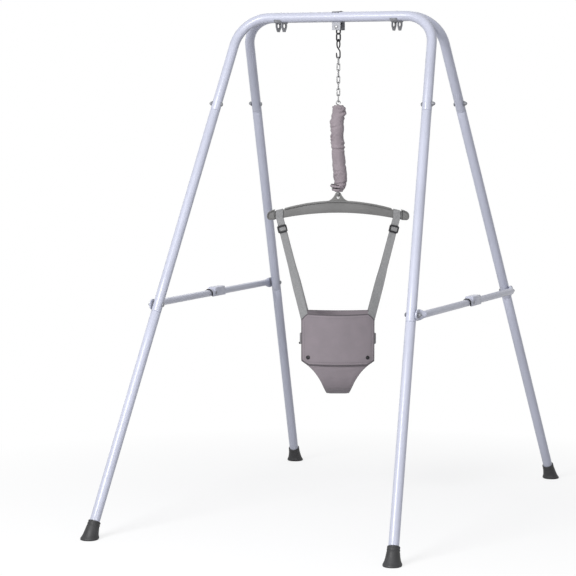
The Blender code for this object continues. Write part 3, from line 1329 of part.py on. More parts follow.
def make_flap():
    """The outer chest flap, hung from its top edge."""
    rings = []
    for drop, half_width in SEAT_PANEL:
        rings.append(bowed_ring(half_width, SEAT_HALF_DEPTH, FLAP_THICKNESS, -drop))
    flap = loft("chest_flap", rings, SEAT_CLOTH)
    hinge_y = -(SEAT_HALF_DEPTH - FLAP_THICKNESS / 2)
    for vertex in flap.data.vertices:
        vertex.co.y -= hinge_y
    flap.location = (0.0, hinge_y, SEAT_TOP)
    flap_pivot = hung_pivot("chest_flap_pivot", (0.0, hinge_y, SEAT_TOP), hanger_pivot)
    hang(flap, flap_pivot)
    radius = SNAP_DIAMETER / 2
    profile = [(0.0, SNAP_RISE), (radius * 0.55, SNAP_RISE), (radius * 0.9, SNAP_RISE * 0.6), (radius, 0.0),
               (0.0, 0.0)]
    for side_name, side in SIDES:
        snap = turned(side_name + "_press_stud", profile, BLACK_PLASTIC)
        slope = math.atan(2 * SEAT_CURVE_DEPTH * SNAP_X / SEAT_HALF_WIDTH ** 2)
        face_turn = Matrix.Rotation(side * slope, 4, "Z") @ UPRIGHT
        spot = Matrix.Translation((side * SNAP_X, -panel_y(SNAP_X, SEAT_HALF_DEPTH), SNAP_HEIGHT))
        snap.matrix_world = spot @ face_turn @ Matrix.Translation((0.0, 0.0, FACE_GAP))
        hang(snap, flap_pivot)


make_flap()
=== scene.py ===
"""Baby jumper hung from a folding steel A-frame stand: its looks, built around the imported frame.

The sections follow the stand as it is put together, from the top rails down to the feet and the
side braces, and then the hanging line from the brackets down to the seat. Metres, +Z up, the
stand's front towards -Y.
"""

import math

import bmesh
import bpy
from mathutils import Matrix, Quaternion, Vector, noise


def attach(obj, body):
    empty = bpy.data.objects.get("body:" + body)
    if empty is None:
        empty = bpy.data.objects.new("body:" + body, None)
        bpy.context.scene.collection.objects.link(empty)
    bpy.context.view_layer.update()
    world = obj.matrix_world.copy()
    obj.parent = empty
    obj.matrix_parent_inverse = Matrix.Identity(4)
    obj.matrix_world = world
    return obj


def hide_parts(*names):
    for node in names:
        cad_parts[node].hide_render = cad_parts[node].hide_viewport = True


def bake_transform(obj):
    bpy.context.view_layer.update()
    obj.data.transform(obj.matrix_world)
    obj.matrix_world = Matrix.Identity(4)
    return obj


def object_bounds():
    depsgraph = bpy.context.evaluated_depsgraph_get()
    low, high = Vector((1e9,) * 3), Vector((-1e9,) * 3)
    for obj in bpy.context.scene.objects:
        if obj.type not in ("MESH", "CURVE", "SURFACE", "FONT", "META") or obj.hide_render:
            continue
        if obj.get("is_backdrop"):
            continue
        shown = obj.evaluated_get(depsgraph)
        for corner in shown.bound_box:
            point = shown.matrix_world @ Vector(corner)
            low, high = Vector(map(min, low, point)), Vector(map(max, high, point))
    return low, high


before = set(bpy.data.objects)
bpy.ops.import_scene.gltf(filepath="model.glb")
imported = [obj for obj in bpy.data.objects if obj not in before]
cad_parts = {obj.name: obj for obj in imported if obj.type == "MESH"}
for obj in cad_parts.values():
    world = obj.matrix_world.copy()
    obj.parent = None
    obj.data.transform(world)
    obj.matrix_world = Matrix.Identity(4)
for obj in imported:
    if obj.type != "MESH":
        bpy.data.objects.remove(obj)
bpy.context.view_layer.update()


# Top rails: two lengths of 25 mm steel tube, each bent to a wide inverted U and powder-coated a
# pale lilac grey. The front one belongs to the stand, the rear one folds towards it, and their
# cut ends are rolled in a little where the legs plug on.

RAIL_HEIGHT, LEG_JOINT, BRACE_HEIGHT = 1.270, 1.048, 0.549
RAIL_HALF, LEG_SPLAY = 0.264, 0.126
ROW_DEPTH, ROW_SPLAY = 0.0155, 0.6225
TUBE_RADIUS, RAIL_BEND = 0.0125, 0.085
SEAM_DROP = 0.020 * 0.895
SIDES = (("left", -1), ("right", 1))
ROWS = (("front", -1, "stand"), ("rear", 1, "rear_frame"))


def finish(slot, name, colour, roughness, metallic=0.0, coat=0.0, sheen=0.0, specular=0.5):
    """A Principled material whose plain values sit on the shader's own sockets."""
    material = bpy.data.materials.new(name)
    material.use_nodes = True
    shader = material.node_tree.nodes["Principled BSDF"]
    shader.inputs["Base Color"].default_value = (*colour, 1.0)
    shader.inputs["Roughness"].default_value = roughness
    shader.inputs["Metallic"].default_value = metallic
    shader.inputs["Specular IOR Level"].default_value = specular
    shader.inputs["Coat Weight"].default_value = coat
    shader.inputs["Coat Roughness"].default_value = 0.16
    shader.inputs["Sheen Weight"].default_value = sheen
    shader.inputs["Sheen Roughness"].default_value = 0.45
    material["slot"] = slot
    return material


def node(owner, kind, inputs=(), **settings):
    """A shader node with its settings and its unlinked inputs."""
    made = owner.node_tree.nodes.new("ShaderNode" + kind)
    for key, value in settings.items():
        setattr(made, key, value)
    for key, value in dict(inputs).items():
        made.inputs[key].default_value = value
    return made


def join(owner, source, output, target, socket):
    """A link from one node's output to another's input."""
    owner.node_tree.links.new(source.outputs[output], target.inputs[socket])


def clouds(material, low, high, scale, detail=4.0, rough=None):
    """Soft clouds between two shades, with the roughness going with them where it is given."""
    shader = material.node_tree.nodes["Principled BSDF"]
    place = node(material, "TexCoord")
    cloud = node(material, "TexNoise", {"Scale": scale, "Detail": detail, "Roughness": 0.55})
    ramp = node(material, "ValToRGB")
    first, last = ramp.color_ramp.elements
    first.position, last.position = 0.32, 0.68
    first.color, last.color = (*low, 1.0), (*high, 1.0)
    join(material, place, "Object", cloud, "Vector")
    join(material, cloud, "Fac", ramp, "Fac")
    join(material, ramp, "Color", shader, "Base Color")
    if rough:
        limits = {"From Min": 0.3, "From Max": 0.7, "To Min": rough[0], "To Max": rough[1]}
        spread = node(material, "MapRange", limits)
        join(material, cloud, "Fac", spread, "Value")
        join(material, spread, "Result", shader, "Roughness")


def grain(material, scale, height):
    """Fine relief: orange peel in paint, or the skin of a moulding."""
    place = node(material, "TexCoord")
    fine = node(material, "TexNoise", {"Scale": scale, "Detail": 3.0})
    relief = node(material, "Bump", {"Strength": 0.5, "Distance": height})
    join(material, place, "Object", fine, "Vector")
    join(material, fine, "Fac", relief, "Height")
    join(material, relief, "Normal", material.node_tree.nodes["Principled BSDF"], "Normal")


def leg_point(side, row, height):
    """Where a leg's axis stands at a height."""
    share = (RAIL_HEIGHT - height) / RAIL_HEIGHT
    return Vector((side * (RAIL_HALF + LEG_SPLAY * share), row * (ROW_DEPTH + ROW_SPLAY * share), height))


def bend(before, corner, after, radius, steps):
    """Points round a bend between two straight runs."""
    start_way, end_way = (before - corner).normalized(), (after - corner).normalized()
    half = start_way.angle(end_way) / 2
    centre = corner + (start_way + end_way).normalized() * radius / math.sin(half)
    start = corner + start_way * radius / math.tan(half) - centre
    axis = start_way.cross(end_way).normalized()
    turns = [-(math.pi - 2 * half) * i / steps for i in range(steps + 1)]
    return [centre + Matrix.Rotation(turn, 3, axis) @ start for turn in turns]


def stations(points, radius, loop=False):
    """A place and a radius for each point of a path; a place's Z runs along it, untwisted."""
    points = [Vector(point) for point in points]
    radii = radius if isinstance(radius, list) else [radius] * len(points)
    found = []
    across = None
    for i, point in enumerate(points):
        ahead = points[(i + 1) % len(points)] if loop else points[min(i + 1, len(points) - 1)]
        behind = points[i - 1] if loop else points[max(i - 1, 0)]
        way = (ahead - behind).normalized()
        across = across or way.orthogonal()
        across = (across - way * way.dot(across)).normalized()
        place = Matrix((across, way.cross(across), way)).transposed().to_4x4()
        place.translation = point
        found.append((place, radii[i]))
    return found


def swept(path, sides=24, loop=False):
    """A round skin drawn through a path's stations, then capped or joined end to end."""
    shape = bmesh.new()
    ring = bmesh.ops.create_circle(shape, segments=sides, radius=path[0][1], matrix=path[0][0])["verts"]
    start = list(dict.fromkeys(edge for vert in ring for edge in vert.link_edges))
    edges = start
    for (before, old), (after, new) in zip(path, path[1:]):
        made = bmesh.ops.extrude_edge_only(shape, edges=edges)["geom"]
        ring = [item for item in made if isinstance(item, bmesh.types.BMVert)]
        edges = [item for item in made if isinstance(item, bmesh.types.BMEdge)]
        bmesh.ops.transform(shape, matrix=after @ Matrix.Scale(new / old, 4) @ before.inverted(), verts=ring)
    if loop:
        bmesh.ops.bridge_loops(shape, edges=start + edges)
    else:
        bmesh.ops.edgeloop_fill(shape, edges=start)
        bmesh.ops.edgeloop_fill(shape, edges=edges)
    return shape


def together(whole, *others):
    """Several bmeshes as one."""
    for other in others:
        holder = bpy.data.meshes.new("holder")
        other.to_mesh(holder)
        other.free()
        whole.from_mesh(holder)
        bpy.data.meshes.remove(holder)
    return whole


def fit(name, shape, material, body, *stands_for, angle=38.0):
    """Turn a bmesh into one piece: its finish, the body it rides on and the CAD nodes it stands for."""
    bmesh.ops.recalc_face_normals(shape, faces=shape.faces)
    mesh = bpy.data.meshes.new(name)
    shape.to_mesh(mesh)
    shape.free()
    mesh.shade_smooth()
    mesh.set_sharp_from_angle(angle=math.radians(angle))
    mesh.materials.append(material)
    obj = bpy.data.objects.new(name, mesh)
    bpy.context.scene.collection.objects.link(obj)
    if body:
        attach(obj, body)
    if stands_for:
        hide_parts(*stands_for)
    return obj


def tube_run(points, lip=0.0007):
    """A frame tube's stations, both of its ends rolled in a little."""
    first, last = points[0], points[-1]
    first_way, last_way = (points[1] - first).normalized(), (last - points[-2]).normalized()
    whole = [first, first + first_way * lip * 0.3, first + first_way * lip] + points[1:-1]
    whole += [last - last_way * lip, last - last_way * lip * 0.3, last]
    inner = [TUBE_RADIUS - lip, TUBE_RADIUS - lip * 0.3, TUBE_RADIUS]
    return stations(whole, inner + [TUBE_RADIUS] * (len(points) - 2) + inner[::-1])


powder_coat = finish("powder_coat", "lilac_grey_powder_coat", (0.445, 0.460, 0.550), 0.34, coat=0.12)
clouds(powder_coat, (0.425, 0.440, 0.526), (0.465, 0.480, 0.574), 7.0, rough=(0.28, 0.40))
grain(powder_coat, 900.0, 0.00002)

leg_seam = LEG_JOINT - SEAM_DROP
for row_name, row, body in ROWS:
    ends = [leg_point(side, row, leg_seam + 0.0003) for side in (-1, 1)]
    corners = [leg_point(side, row, RAIL_HEIGHT) for side in (-1, 1)]
    path = [ends[0]] + bend(ends[0], corners[0], corners[1], RAIL_BEND, 22)
    path += bend(corners[0], corners[1], ends[1], RAIL_BEND, 22) + [ends[1]]
    rail = swept(tube_run(path), 40)
    fit(row_name + "_top_rail", rail, powder_coat, body, row_name + "_rail", angle=60.0)


# Leg tubes: three lengths to a leg, the same powder-coated tube, each with a narrower tail that
# plugs into the one above. The legs splay sideways and fore and aft.

brace_seam = BRACE_HEIGHT - SEAM_DROP
spans = (("middle", brace_seam, leg_seam), ("lower", 0.0093, brace_seam - 0.0003))
for row_name, row, body in ROWS:
    for side_name, side in SIDES:
        for span_name, low, high in spans:
            run = [leg_point(side, row, low + (high - low) * i / 6) for i in range(7)]
            tail = (run[-1] - run[0]).normalized() * 0.002
            leg = together(swept(tube_run(run), 40),
                           swept(stations([run[-1] - tail, run[-1] + tail], TUBE_RADIUS - 0.002), 24))
            name = "%s_%s_%s" % (row_name, side_name, span_name)
            fit(name + "_leg", leg, powder_coat, body, name + "_tube", angle=60.0)


# Feet: flared black rubber boots pushed on over the legs' cut ends, moulded with a level sole, a
# rounded rim and two ribs round the neck.

rubber = finish("black_rubber", "black_rubber", (0.014, 0.014, 0.015), 0.58)
clouds(rubber, (0.010, 0.010, 0.011), (0.026, 0.026, 0.028), 45.0, rough=(0.48, 0.70))
grain(rubber, 700.0, 0.00012)


def leg_way(side, row):
    """The way a leg runs, from its foot up to the rail."""
    return leg_point(side, row, RAIL_HEIGHT) - leg_point(side, row, 0.0)


# height, radius and how much of the leg's lean the row takes
boot_rows = [(0.0000, 0.0200, 0.0), (0.0006, 0.0216, 0.0), (0.0022, 0.0227, 0.0), (0.0048, 0.0227, 0.0),
             (0.0066, 0.0219, 0.0), (0.0085, 0.0207, 0.05), (0.0120, 0.0193, 0.2), (0.0160, 0.0181, 0.42),
             (0.0205, 0.0172, 0.62), (0.0255, 0.0163, 0.85), (0.0300, 0.0157, 1.0), (0.0310, 0.0150, 1.0),
             (0.0322, 0.0150, 1.0), (0.0332, 0.0156, 1.0), (0.0360, 0.0154, 1.0), (0.0369, 0.0147, 1.0),
             (0.0380, 0.0147, 1.0), (0.0390, 0.0154, 1.0), (0.0408, 0.0153, 1.0), (0.0418, 0.0145, 1.0),
             (0.0420, 0.0129, 1.0), (0.0405, 0.0127, 1.0)]
for row_name, row, body in ROWS:
    for side_name, side in SIDES:
        lean = Vector((0.0, 0.0, 1.0)).rotation_difference(leg_way(side, row))
        rings = []
        for height, radius, share in boot_rows:
            tilt = Quaternion().slerp(lean, share).to_matrix().to_4x4()
            rings.append((Matrix.Translation(leg_point(side, row, height)) @ tilt, radius))
        boot = swept(rings, 48)
        name = "%s_%s" % (row_name, side_name)
        fit(name + "_boot", boot, rubber, body, name + "_foot", angle=50.0)


# Bolts: zinc-plated screws through the tube joints, turned and pressed from steel, each with a low
# domed head on the leg's inner side and a washer and a domed cap nut on its outer side.

zinc = finish("zinc_plate", "zinc_plate", (0.25, 0.255, 0.275), 0.50, metallic=0.4, specular=0.3)
clouds(zinc, (0.19, 0.195, 0.215), (0.31, 0.315, 0.335), 160.0, 3.0, rough=(0.44, 0.58))

END_REACH, PLATE_THICK, BOLT_GAP = 0.014, 0.0035, 0.0002
leg_face = TUBE_RADIUS * math.hypot(1.0, LEG_SPLAY / RAIL_HEIGHT)
head_seat = leg_face + 0.0004
plate_inner = leg_face + END_REACH * LEG_SPLAY / RAIL_HEIGHT + 0.0005
plate_outer = plate_inner + PLATE_THICK


def arc(radius, start, turn, steps):
    """Points along a circle's arc about the middle, its angles in degrees."""
    angles = [math.radians(start + turn * i / steps) for i in range(steps + 1)]
    return [(radius * math.cos(angle), radius * math.sin(angle)) for angle in angles]


def ease(shape, edges, radius, segments=2):
    """Bevel a bmesh's edges round."""
    bmesh.ops.bevel(shape, geom=edges, offset=radius, offset_type="OFFSET", affect="EDGES",
                    segments=segments, profile=0.5, material=-1, clamp_overlap=True)


def turned(profile, steps=28, place=Matrix()):
    """A (radius, height) outline spun once round Z and put in place."""
    shape = bmesh.new()
    chain = [shape.verts.new((radius, 0.0, height)) for radius, height in profile]
    lines = [shape.edges.new(pair) for pair in zip(chain, chain[1:])]
    bmesh.ops.spin(shape, geom=chain + lines, cent=(0.0, 0.0, 0.0), axis=(0.0, 0.0, 1.0), angle=2 * math.pi,
                   steps=steps, use_merge=True)
    bmesh.ops.remove_doubles(shape, verts=shape.verts[:], dist=0.000001)
    bmesh.ops.transform(shape, matrix=place, verts=shape.verts[:])
    return shape


def slab(outline, thickness, round_off=0.0, hole=(), segments=2, place=Matrix()):
    """A flat outline given a thickness about its plane, its rims bevelled; hole is a second outline."""
    shape = bmesh.new()
    for line in (outline, hole) if hole else (outline,):
        corners = [shape.verts.new((x, y, -thickness / 2)) for x, y in line]
        for pair in zip(corners, corners[1:] + corners[:1]):
            shape.edges.new(pair)
    if hole:
        bmesh.ops.triangle_fill(shape, edges=shape.edges[:], use_beauty=True)
    else:
        bmesh.ops.edgeloop_fill(shape, edges=shape.edges[:])
    made = bmesh.ops.extrude_face_region(shape, geom=shape.faces[:])["geom"]
    upper = [item for item in made if isinstance(item, bmesh.types.BMVert)]
    bmesh.ops.translate(shape, vec=(0.0, 0.0, thickness), verts=upper)
    bmesh.ops.recalc_face_normals(shape, faces=shape.faces[:])
    if round_off:
        sharp = [edge for edge in shape.edges if edge.calc_face_angle() > math.radians(30.0)]
        ease(shape, sharp, round_off, segments)
    bmesh.ops.transform(shape, matrix=place, verts=shape.verts[:])
    return shape


def cap_nut(place, seat):
    """A washer, a hexagon with its corners eased and a dome."""
    washer = turned([(0.0, seat), (0.0066, seat), (0.0070, seat + 0.0002), (0.0070, seat + 0.0008),
                     (0.0067, seat + 0.0010), (0.0, seat + 0.0010)], 32, place)
    hexagon = arc(0.00575, 0.0, 300.0, 5)
    flats = slab(hexagon, 0.0031, 0.0004, place=place @ Matrix.Translation((0.0, 0.0, seat + 0.0026)))
    crown = [(x, seat + 0.0040 + z) for x, z in arc(0.0044, 0.0, 75.0, 5)]
    dome = turned([(0.0, seat + 0.0040), *crown, (0.0, seat + 0.0084)], 28, place)
    return together(washer, flats, dome)


def bolt_head(place, seat):
    """A low domed head that faces away from its shank; seat is where it bears."""
    flip = place @ Matrix.Translation((0.0, 0.0, seat)) @ Matrix.Rotation(math.pi, 4, "X")
    dome = [(0.0, 0.0), (0.0053, 0.0), (0.0055, 0.0004), (0.0053, 0.0014), (0.0045, 0.0024),
            (0.0030, 0.0032), (0.0, 0.0035)]
    return turned(dome, 28, flip)


def outer_nut(place):
    """A cap nut outside a brace's end plate, and the round spacer between the plate and the leg."""
    low, high = head_seat, plate_inner - BOLT_GAP
    spacer = turned([(0.0, low), (0.0069, low), (0.0069, high), (0.0, high)], 28, place)
    return together(cap_nut(place, plate_outer + BOLT_GAP), spacer)


def leg_bolt_place(side, row):
    """The axes of an upper bolt: Z outwards, square to its leg in the plane of the frame."""
    up = leg_way(side, row).normalized()
    out = (Vector((side, 0.0, 0.0)) - up * side * up.x).normalized()
    place = Matrix((out, up.cross(out), up)).transposed().to_4x4()
    return Matrix.Translation(leg_point(side, row, LEG_JOINT)) @ place @ Matrix.Rotation(math.pi / 2, 4, "Y")


def brace_bolt_place(side, row):
    """The axes of a brace's bolt: Z outwards along X."""
    out = Matrix.Rotation(side * math.pi / 2, 4, "Y")
    return Matrix.Translation(leg_point(side, row, BRACE_HEIGHT)) @ out


for row_name, row, body in ROWS:
    for side_name, side in SIDES:
        name = "%s_%s" % (row_name, side_name)
        place = leg_bolt_place(side, row)
        seat = TUBE_RADIUS + BOLT_GAP
        bolt = together(cap_nut(place, seat), bolt_head(place, -seat))
        fit(name + "_upper_bolt", bolt, zinc, body, name + "_leg_bolt")
        place = brace_bolt_place(side, row)
        bolt = bolt_head(place, -head_seat)
        if row < 0:
            bolt = together(bolt, outer_nut(place))
        fit(name + "_lower_bolt", bolt, zinc, body, name + "_brace_bolt")


# Side braces: two lengths of 17.5 mm powder-coated tube to a side, their outer ends pressed flat
# and rounded for the bolt. The rear one carries a folded housing with a raised lock block, open
# below, where the front one swings out; a thin black ring at its mouth is painted shade, the
# shadow in the gap round the front tube.

BRACE_RADIUS, PLATE_TALL = 0.00875, 0.0135
HOUSING_FRONT, HOUSING_REAR, HOUSING_SKIRT = 0.022, 0.060, 0.009
LOCK_LENGTH, LOCK_MIDDLE = 0.066, 0.022
BOLT_X, BRACE_HALF = 0.33553, 0.36891
brace_x = BOLT_X + plate_inner + BRACE_RADIUS
plate_x = BOLT_X + plate_inner + PLATE_THICK / 2
upright = Matrix.Rotation(math.pi / 2, 4, "X")

black_plastic = finish("black_plastic", "black_moulding", (0.007, 0.007, 0.009), 0.38, specular=0.28)
clouds(black_plastic, (0.004, 0.004, 0.006), (0.012, 0.012, 0.014), 90.0, rough=(0.30, 0.46))
grain(black_plastic, 1200.0, 0.00005)


def smoothstep(t):
    """From 0 to 1 with level ends."""
    t = max(0.0, min(1.0, t))
    return t * t * (3 - 2 * t)


def brace_tube(length, side, row):
    """A brace tube from its flattened end plate inwards; the front one ends in a round nose."""
    shares = [-0.01393, -0.0134, -0.0123, -0.0104, -0.0077, -0.0042, 0.0, 0.006]
    shares += [0.009 + 0.0014 * i for i in range(11)]
    shares += [0.034 + (length - 0.034) * i / 6 for i in range(1, 7)]
    if row < 0:
        shares += [length + BRACE_RADIUS * share for share in (0.25, 0.5, 0.7, 0.85, 0.95, 0.99)]
    lay = Matrix.Rotation(-math.pi / 2, 4, "X")
    shape = swept([(Matrix.Translation((0.0, along, 0.0)) @ lay, 1.0) for along in shares], 32)
    for vert in shape.verts:
        along, blend = vert.co.y, smoothstep((vert.co.y - 0.009) / 0.014)
        tip = math.sqrt(max(0.0, 1 - (min(along, 0.0) / END_REACH) ** 2))
        nose = math.sqrt(max(0.0, 1 - (max(along - length, 0.0) / BRACE_RADIUS) ** 2))
        tall = (PLATE_TALL * tip + (BRACE_RADIUS - PLATE_TALL) * blend) * nose
        wide = (PLATE_THICK / 2 + (BRACE_RADIUS - PLATE_THICK / 2) * blend) * nose
        power = 2 / (6.0 - 4.0 * smoothstep(blend * 1.4))
        x = plate_x + (brace_x - plate_x) * blend + wide * math.copysign(abs(vert.co.x) ** power, vert.co.x)
        z = BRACE_HEIGHT + tall * math.copysign(abs(vert.co.z) ** power, vert.co.z)
        vert.co = (side * x, row * (BRACE_HALF - along), z)
    return shape


def arch(radius, skirt):
    """A half round on straight sides, from its right foot over the top to its left foot."""
    return [(radius, -skirt)] + arc(radius, 0.0, 180.0, 20) + [(-radius, -skirt)]


def on_brace(side, along):
    """A place on a brace's axis, its outlines' tops turned upwards."""
    return Matrix.Translation((side * brace_x, along, BRACE_HEIGHT)) @ upright


outer, inner = BRACE_RADIUS + 0.0024, BRACE_RADIUS + 0.0005
housing_outline = arch(outer, HOUSING_SKIRT) + arch(inner, HOUSING_SKIRT)[::-1]
wide, high = outer + 0.0002, BRACE_RADIUS + 0.0062
block = [(wide, -0.003), (wide, high - 0.003), (wide - 0.0009, high - 0.0009), (wide - 0.003, high)]
block += [(-x, z) for x, z in block[::-1]] + arch(inner, 0.003)[::-1]
mouth_shade_skirt = HOUSING_SKIRT * 0.8
mouth_shade_outline = arch(outer + 0.0005, mouth_shade_skirt) + arch(BRACE_RADIUS + 0.0003, mouth_shade_skirt)[::-1]
pin_head = [(0.0, outer + 0.0015), (0.0018, outer + 0.0015), (0.0034, outer + 0.0012),
            (0.0044, outer + 0.0006), (0.0045, outer), (0.0025, outer)]
pin_profile = pin_head + [(radius, -reach) for radius, reach in pin_head[::-1]]

for side_name, side in SIDES:
    front = brace_tube(BRACE_HALF, side, -1)
    fit(side_name + "_front_stay", front, powder_coat, "brace_front_" + side_name,
        side_name + "_brace_front", angle=50.0)

    body = "brace_rear_" + side_name
    housing = slab(housing_outline, HOUSING_FRONT + HOUSING_REAR, 0.0005,
                   place=on_brace(side, (HOUSING_REAR - HOUSING_FRONT) / 2))
    lock = slab(block, LOCK_LENGTH, 0.0007)
    for vert in lock.verts:
        if vert.co.z > 0:
            vert.co.z -= 0.9 * max(0.0, vert.co.y - 0.004)
    lock.transform(on_brace(side, LOCK_MIDDLE))
    rear = together(brace_tube(BRACE_HALF - 0.046, side, 1), housing, lock)
    fit(side_name + "_rear_stay", rear, powder_coat, body, side_name + "_brace_rear", angle=45.0)

    # A thin black ring at the housing's mouth: painted shade for the shadow gap round the front tube.
    mouth_shade = slab(mouth_shade_outline, 0.0026, 0.0003, place=on_brace(side, -HOUSING_FRONT - 0.0008))
    fit(side_name + "_stay_mouth_shade", mouth_shade, black_plastic, body)

    across = Matrix.Translation((side * brace_x, 0.0, BRACE_HEIGHT)) @ Matrix.Rotation(math.pi / 2, 4, "Y")
    fit(side_name + "_stay_pin", turned(pin_profile, 28, across), zinc, body, side_name + "_brace_pin")
    nut = outer_nut(brace_bolt_place(side, 1))
    fit(side_name + "_stay_nut", nut, zinc, body, side_name + "_brace_rear_nut")


# Top brackets: zinc-plated plates pressed from 2 to 3 mm steel and clamped round both rails, the
# middle one with a bright cross pin for the jumper, the outer ones with oval eyes.

bright_steel = finish("bright_steel", "bright_steel_wire", (0.26, 0.26, 0.265), 0.34, metallic=0.8,
                      specular=0.4)
clouds(bright_steel, (0.17, 0.17, 0.175), (0.35, 0.35, 0.355), 240.0, rough=(0.28, 0.44))
black_steel = finish("black_steel", "black_oxide_wire", (0.006, 0.006, 0.008), 0.36, specular=0.15)
clouds(black_steel, (0.005, 0.005, 0.007), (0.015, 0.015, 0.018), 130.0, rough=(0.28, 0.46))

for name, material in (("hanger_bracket", zinc), ("top_saddle", zinc), ("left_eye_bracket", zinc),
                       ("right_eye_bracket", zinc), ("clamp_bolt", black_steel), ("left_eye_bolt", zinc),
                       ("right_eye_bolt", zinc), ("hanger_pin", bright_steel)):
    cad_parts[name].material_slots[0].material = material


# Eye linings: thin black plastic grommets snapped into the outer brackets' oval eyes, a ring
# showing on each face of the plate.

EYE_X, EYE_HEIGHT, EYE_RADIUS = 0.1595, 1.2490, 0.0056

for side_name, side in SIDES:
    rings = []
    for edge in (-1, 1):
        x = side * EYE_X + edge * 0.00835
        loop = []
        for i in range(40):
            c, s = math.cos(2 * math.pi * i / 40), math.sin(2 * math.pi * i / 40)
            loop.append((x, 0.002 * math.copysign(1, c) + EYE_RADIUS * c, EYE_HEIGHT + EYE_RADIUS * s))
        rings.append(swept(stations(loop, 0.0008, True), 12, True))
    fit(side_name + "_eye_lining", together(*rings), black_plastic, "stand")


# Figure-eight link: two loops of 4 mm black steel wire closed at the waist, hung on the bracket's
# pin so that the jumper can swing.

def link(width, top, bottom, radius, turn=0.0):
    """A closed upright link between two wire-centre heights, turned about Z in degrees."""
    bow, straight, middle = width / 2, (top - bottom - width) / 2, (top + bottom) / 2
    points = []
    for i in range(26):
        angle = math.pi * (i % 13) / 12 + (math.pi if i > 12 else 0.0)
        lift = straight if i < 13 else -straight
        flat = Matrix.Rotation(math.radians(turn), 3, "Z") @ Vector((bow * math.cos(angle), 0.0, 0.0))
        points.append(flat + Vector((0.0, 0.0, middle + lift + bow * math.sin(angle))))
    return swept(stations(points, radius, True), 18, True)


EIGHT_WIDTH, EIGHT_WIRE = 0.0100, 0.0020
eight = together(link(EIGHT_WIDTH, 1.2493, 1.2267, EIGHT_WIRE), link(EIGHT_WIDTH, 1.2283, 1.2088, EIGHT_WIRE))
fit("eight_link", eight, black_steel, "swing_link", "figure_eight_link", angle=60.0)


# Hook: one length of 3.6 mm black steel wire with a tall closed eye above and an open J below,
# bent by hand tools, so that its eye stands across its bend.

def curve_through(knots, steps=6):
    """Rows of numbers on a smooth curve through the knots."""
    knots = [list(knot) for knot in knots]
    ends = [[2 * a - b for a, b in zip(knots[0], knots[1])]] + knots
    ends.append([2 * a - b for a, b in zip(knots[-1], knots[-2])])
    points = []
    for a, b, c, d in zip(ends, ends[1:], ends[2:], ends[3:]):
        for i in range(steps):
            t = i / steps
            points.append([0.5 * (2 * q + (r - p) * t + (2 * p - 5 * q + 4 * r - s) * t ** 2
                                  + (3 * q - p - 3 * r + s) * t ** 3) for p, q, r, s in zip(a, b, c, d)])
    return points + [knots[-1]]


HOOK_BOW, HOOK_BEND, HOOK_WIRE = 0.0045, 1.1692, 0.0018
eye_way = (math.sin(math.radians(40.0)), math.cos(math.radians(40.0)))
wire = []
for i in range(31):
    angle = math.radians(24.0 + 322.0 * i / 30)
    out = 0.0042 * math.sin(angle)
    wire.append((out * eye_way[0], out * eye_way[1], 1.2016 - 0.0111 * math.cos(angle)))
neck = [wire[-1], (0.0012, -0.0005, 1.1880), (0.0042, 0.0, 1.1820), (HOOK_BOW, 0.0, HOOK_BEND)]
wire += curve_through(neck)[1:]
wire += [(x, 0.0, HOOK_BEND - drop) for x, drop in arc(HOOK_BOW, 0.0, 180.0, 20)[1:]]
wire += [(-0.0050, 0.0, 1.1745), (-0.0054, 0.0, 1.1790)]
hook = swept(stations(wire, [0.0012, 0.0017] + [HOOK_WIRE] * (len(wire) - 4) + [0.0017, 0.0012]), 18)
fit("hook_wire", hook, black_steel, "swing_hook", "s_hook", angle=60.0)


# Chain: seven links of 3 mm steel wire, plated bright. Each is bent to a long oval, welded shut
# and hung square to the last.

CHAIN_TOP, CHAIN_PITCH, HANG_TURN = 1.1681, 0.016, 21.8

for number in range(1, 8):
    top = CHAIN_TOP - CHAIN_PITCH * (number - 1)
    turn = (90.0 if number % 2 else 0.0) + HANG_TURN * number / 8
    oval = link(0.0070, top, top - 0.0193, 0.0015, turn)
    fit("bright_link_%d" % number, oval, bright_steel, "chain_%d" % number,
        "chain_link_%d" % number, angle=60.0)


# Spring: one length of bright 2.8 mm wire wound to 21 open coils with an eye turned at each end,
# and a welded ring below it. From here down everything hangs turned about Z, so it is laid out
# facing the jumper's own front and then turned.

TURN = Matrix.Rotation(math.radians(HANG_TURN), 4, "Z")
SPRING_TOP, SPRING_BOTTOM = 1.0561, 0.825173
SLEEVE_TOP, SLEEVE_BOTTOM = 1.0450, 0.8222
COIL_RADIUS, COIL_TURNS, EYE_BOW = 0.0100, 21.5, 0.0050

# share down the sleeve, and how far right of the hanging line it stands there
drift_knots = [(0.0, 0.0010), (0.07, 0.0020), (0.19, -0.0028), (0.34, -0.0030), (0.46, -0.0012),
               (0.56, 0.0004), (0.66, 0.0027), (0.78, 0.0050), (0.88, 0.0064), (0.95, 0.0044), (1.0, 0.0012)]


def drift(height):
    """How far the slack spring and its sleeve stand off to the right at a height."""
    share = max(0.0, min(1.0, (SLEEVE_TOP - height) / (SLEEVE_TOP - SLEEVE_BOTTOM)))
    for (a, low), (b, high) in zip(drift_knots, drift_knots[1:]):
        if share <= b:
            return low + (high - low) * smoothstep((share - a) / (b - a))
    return 0.0


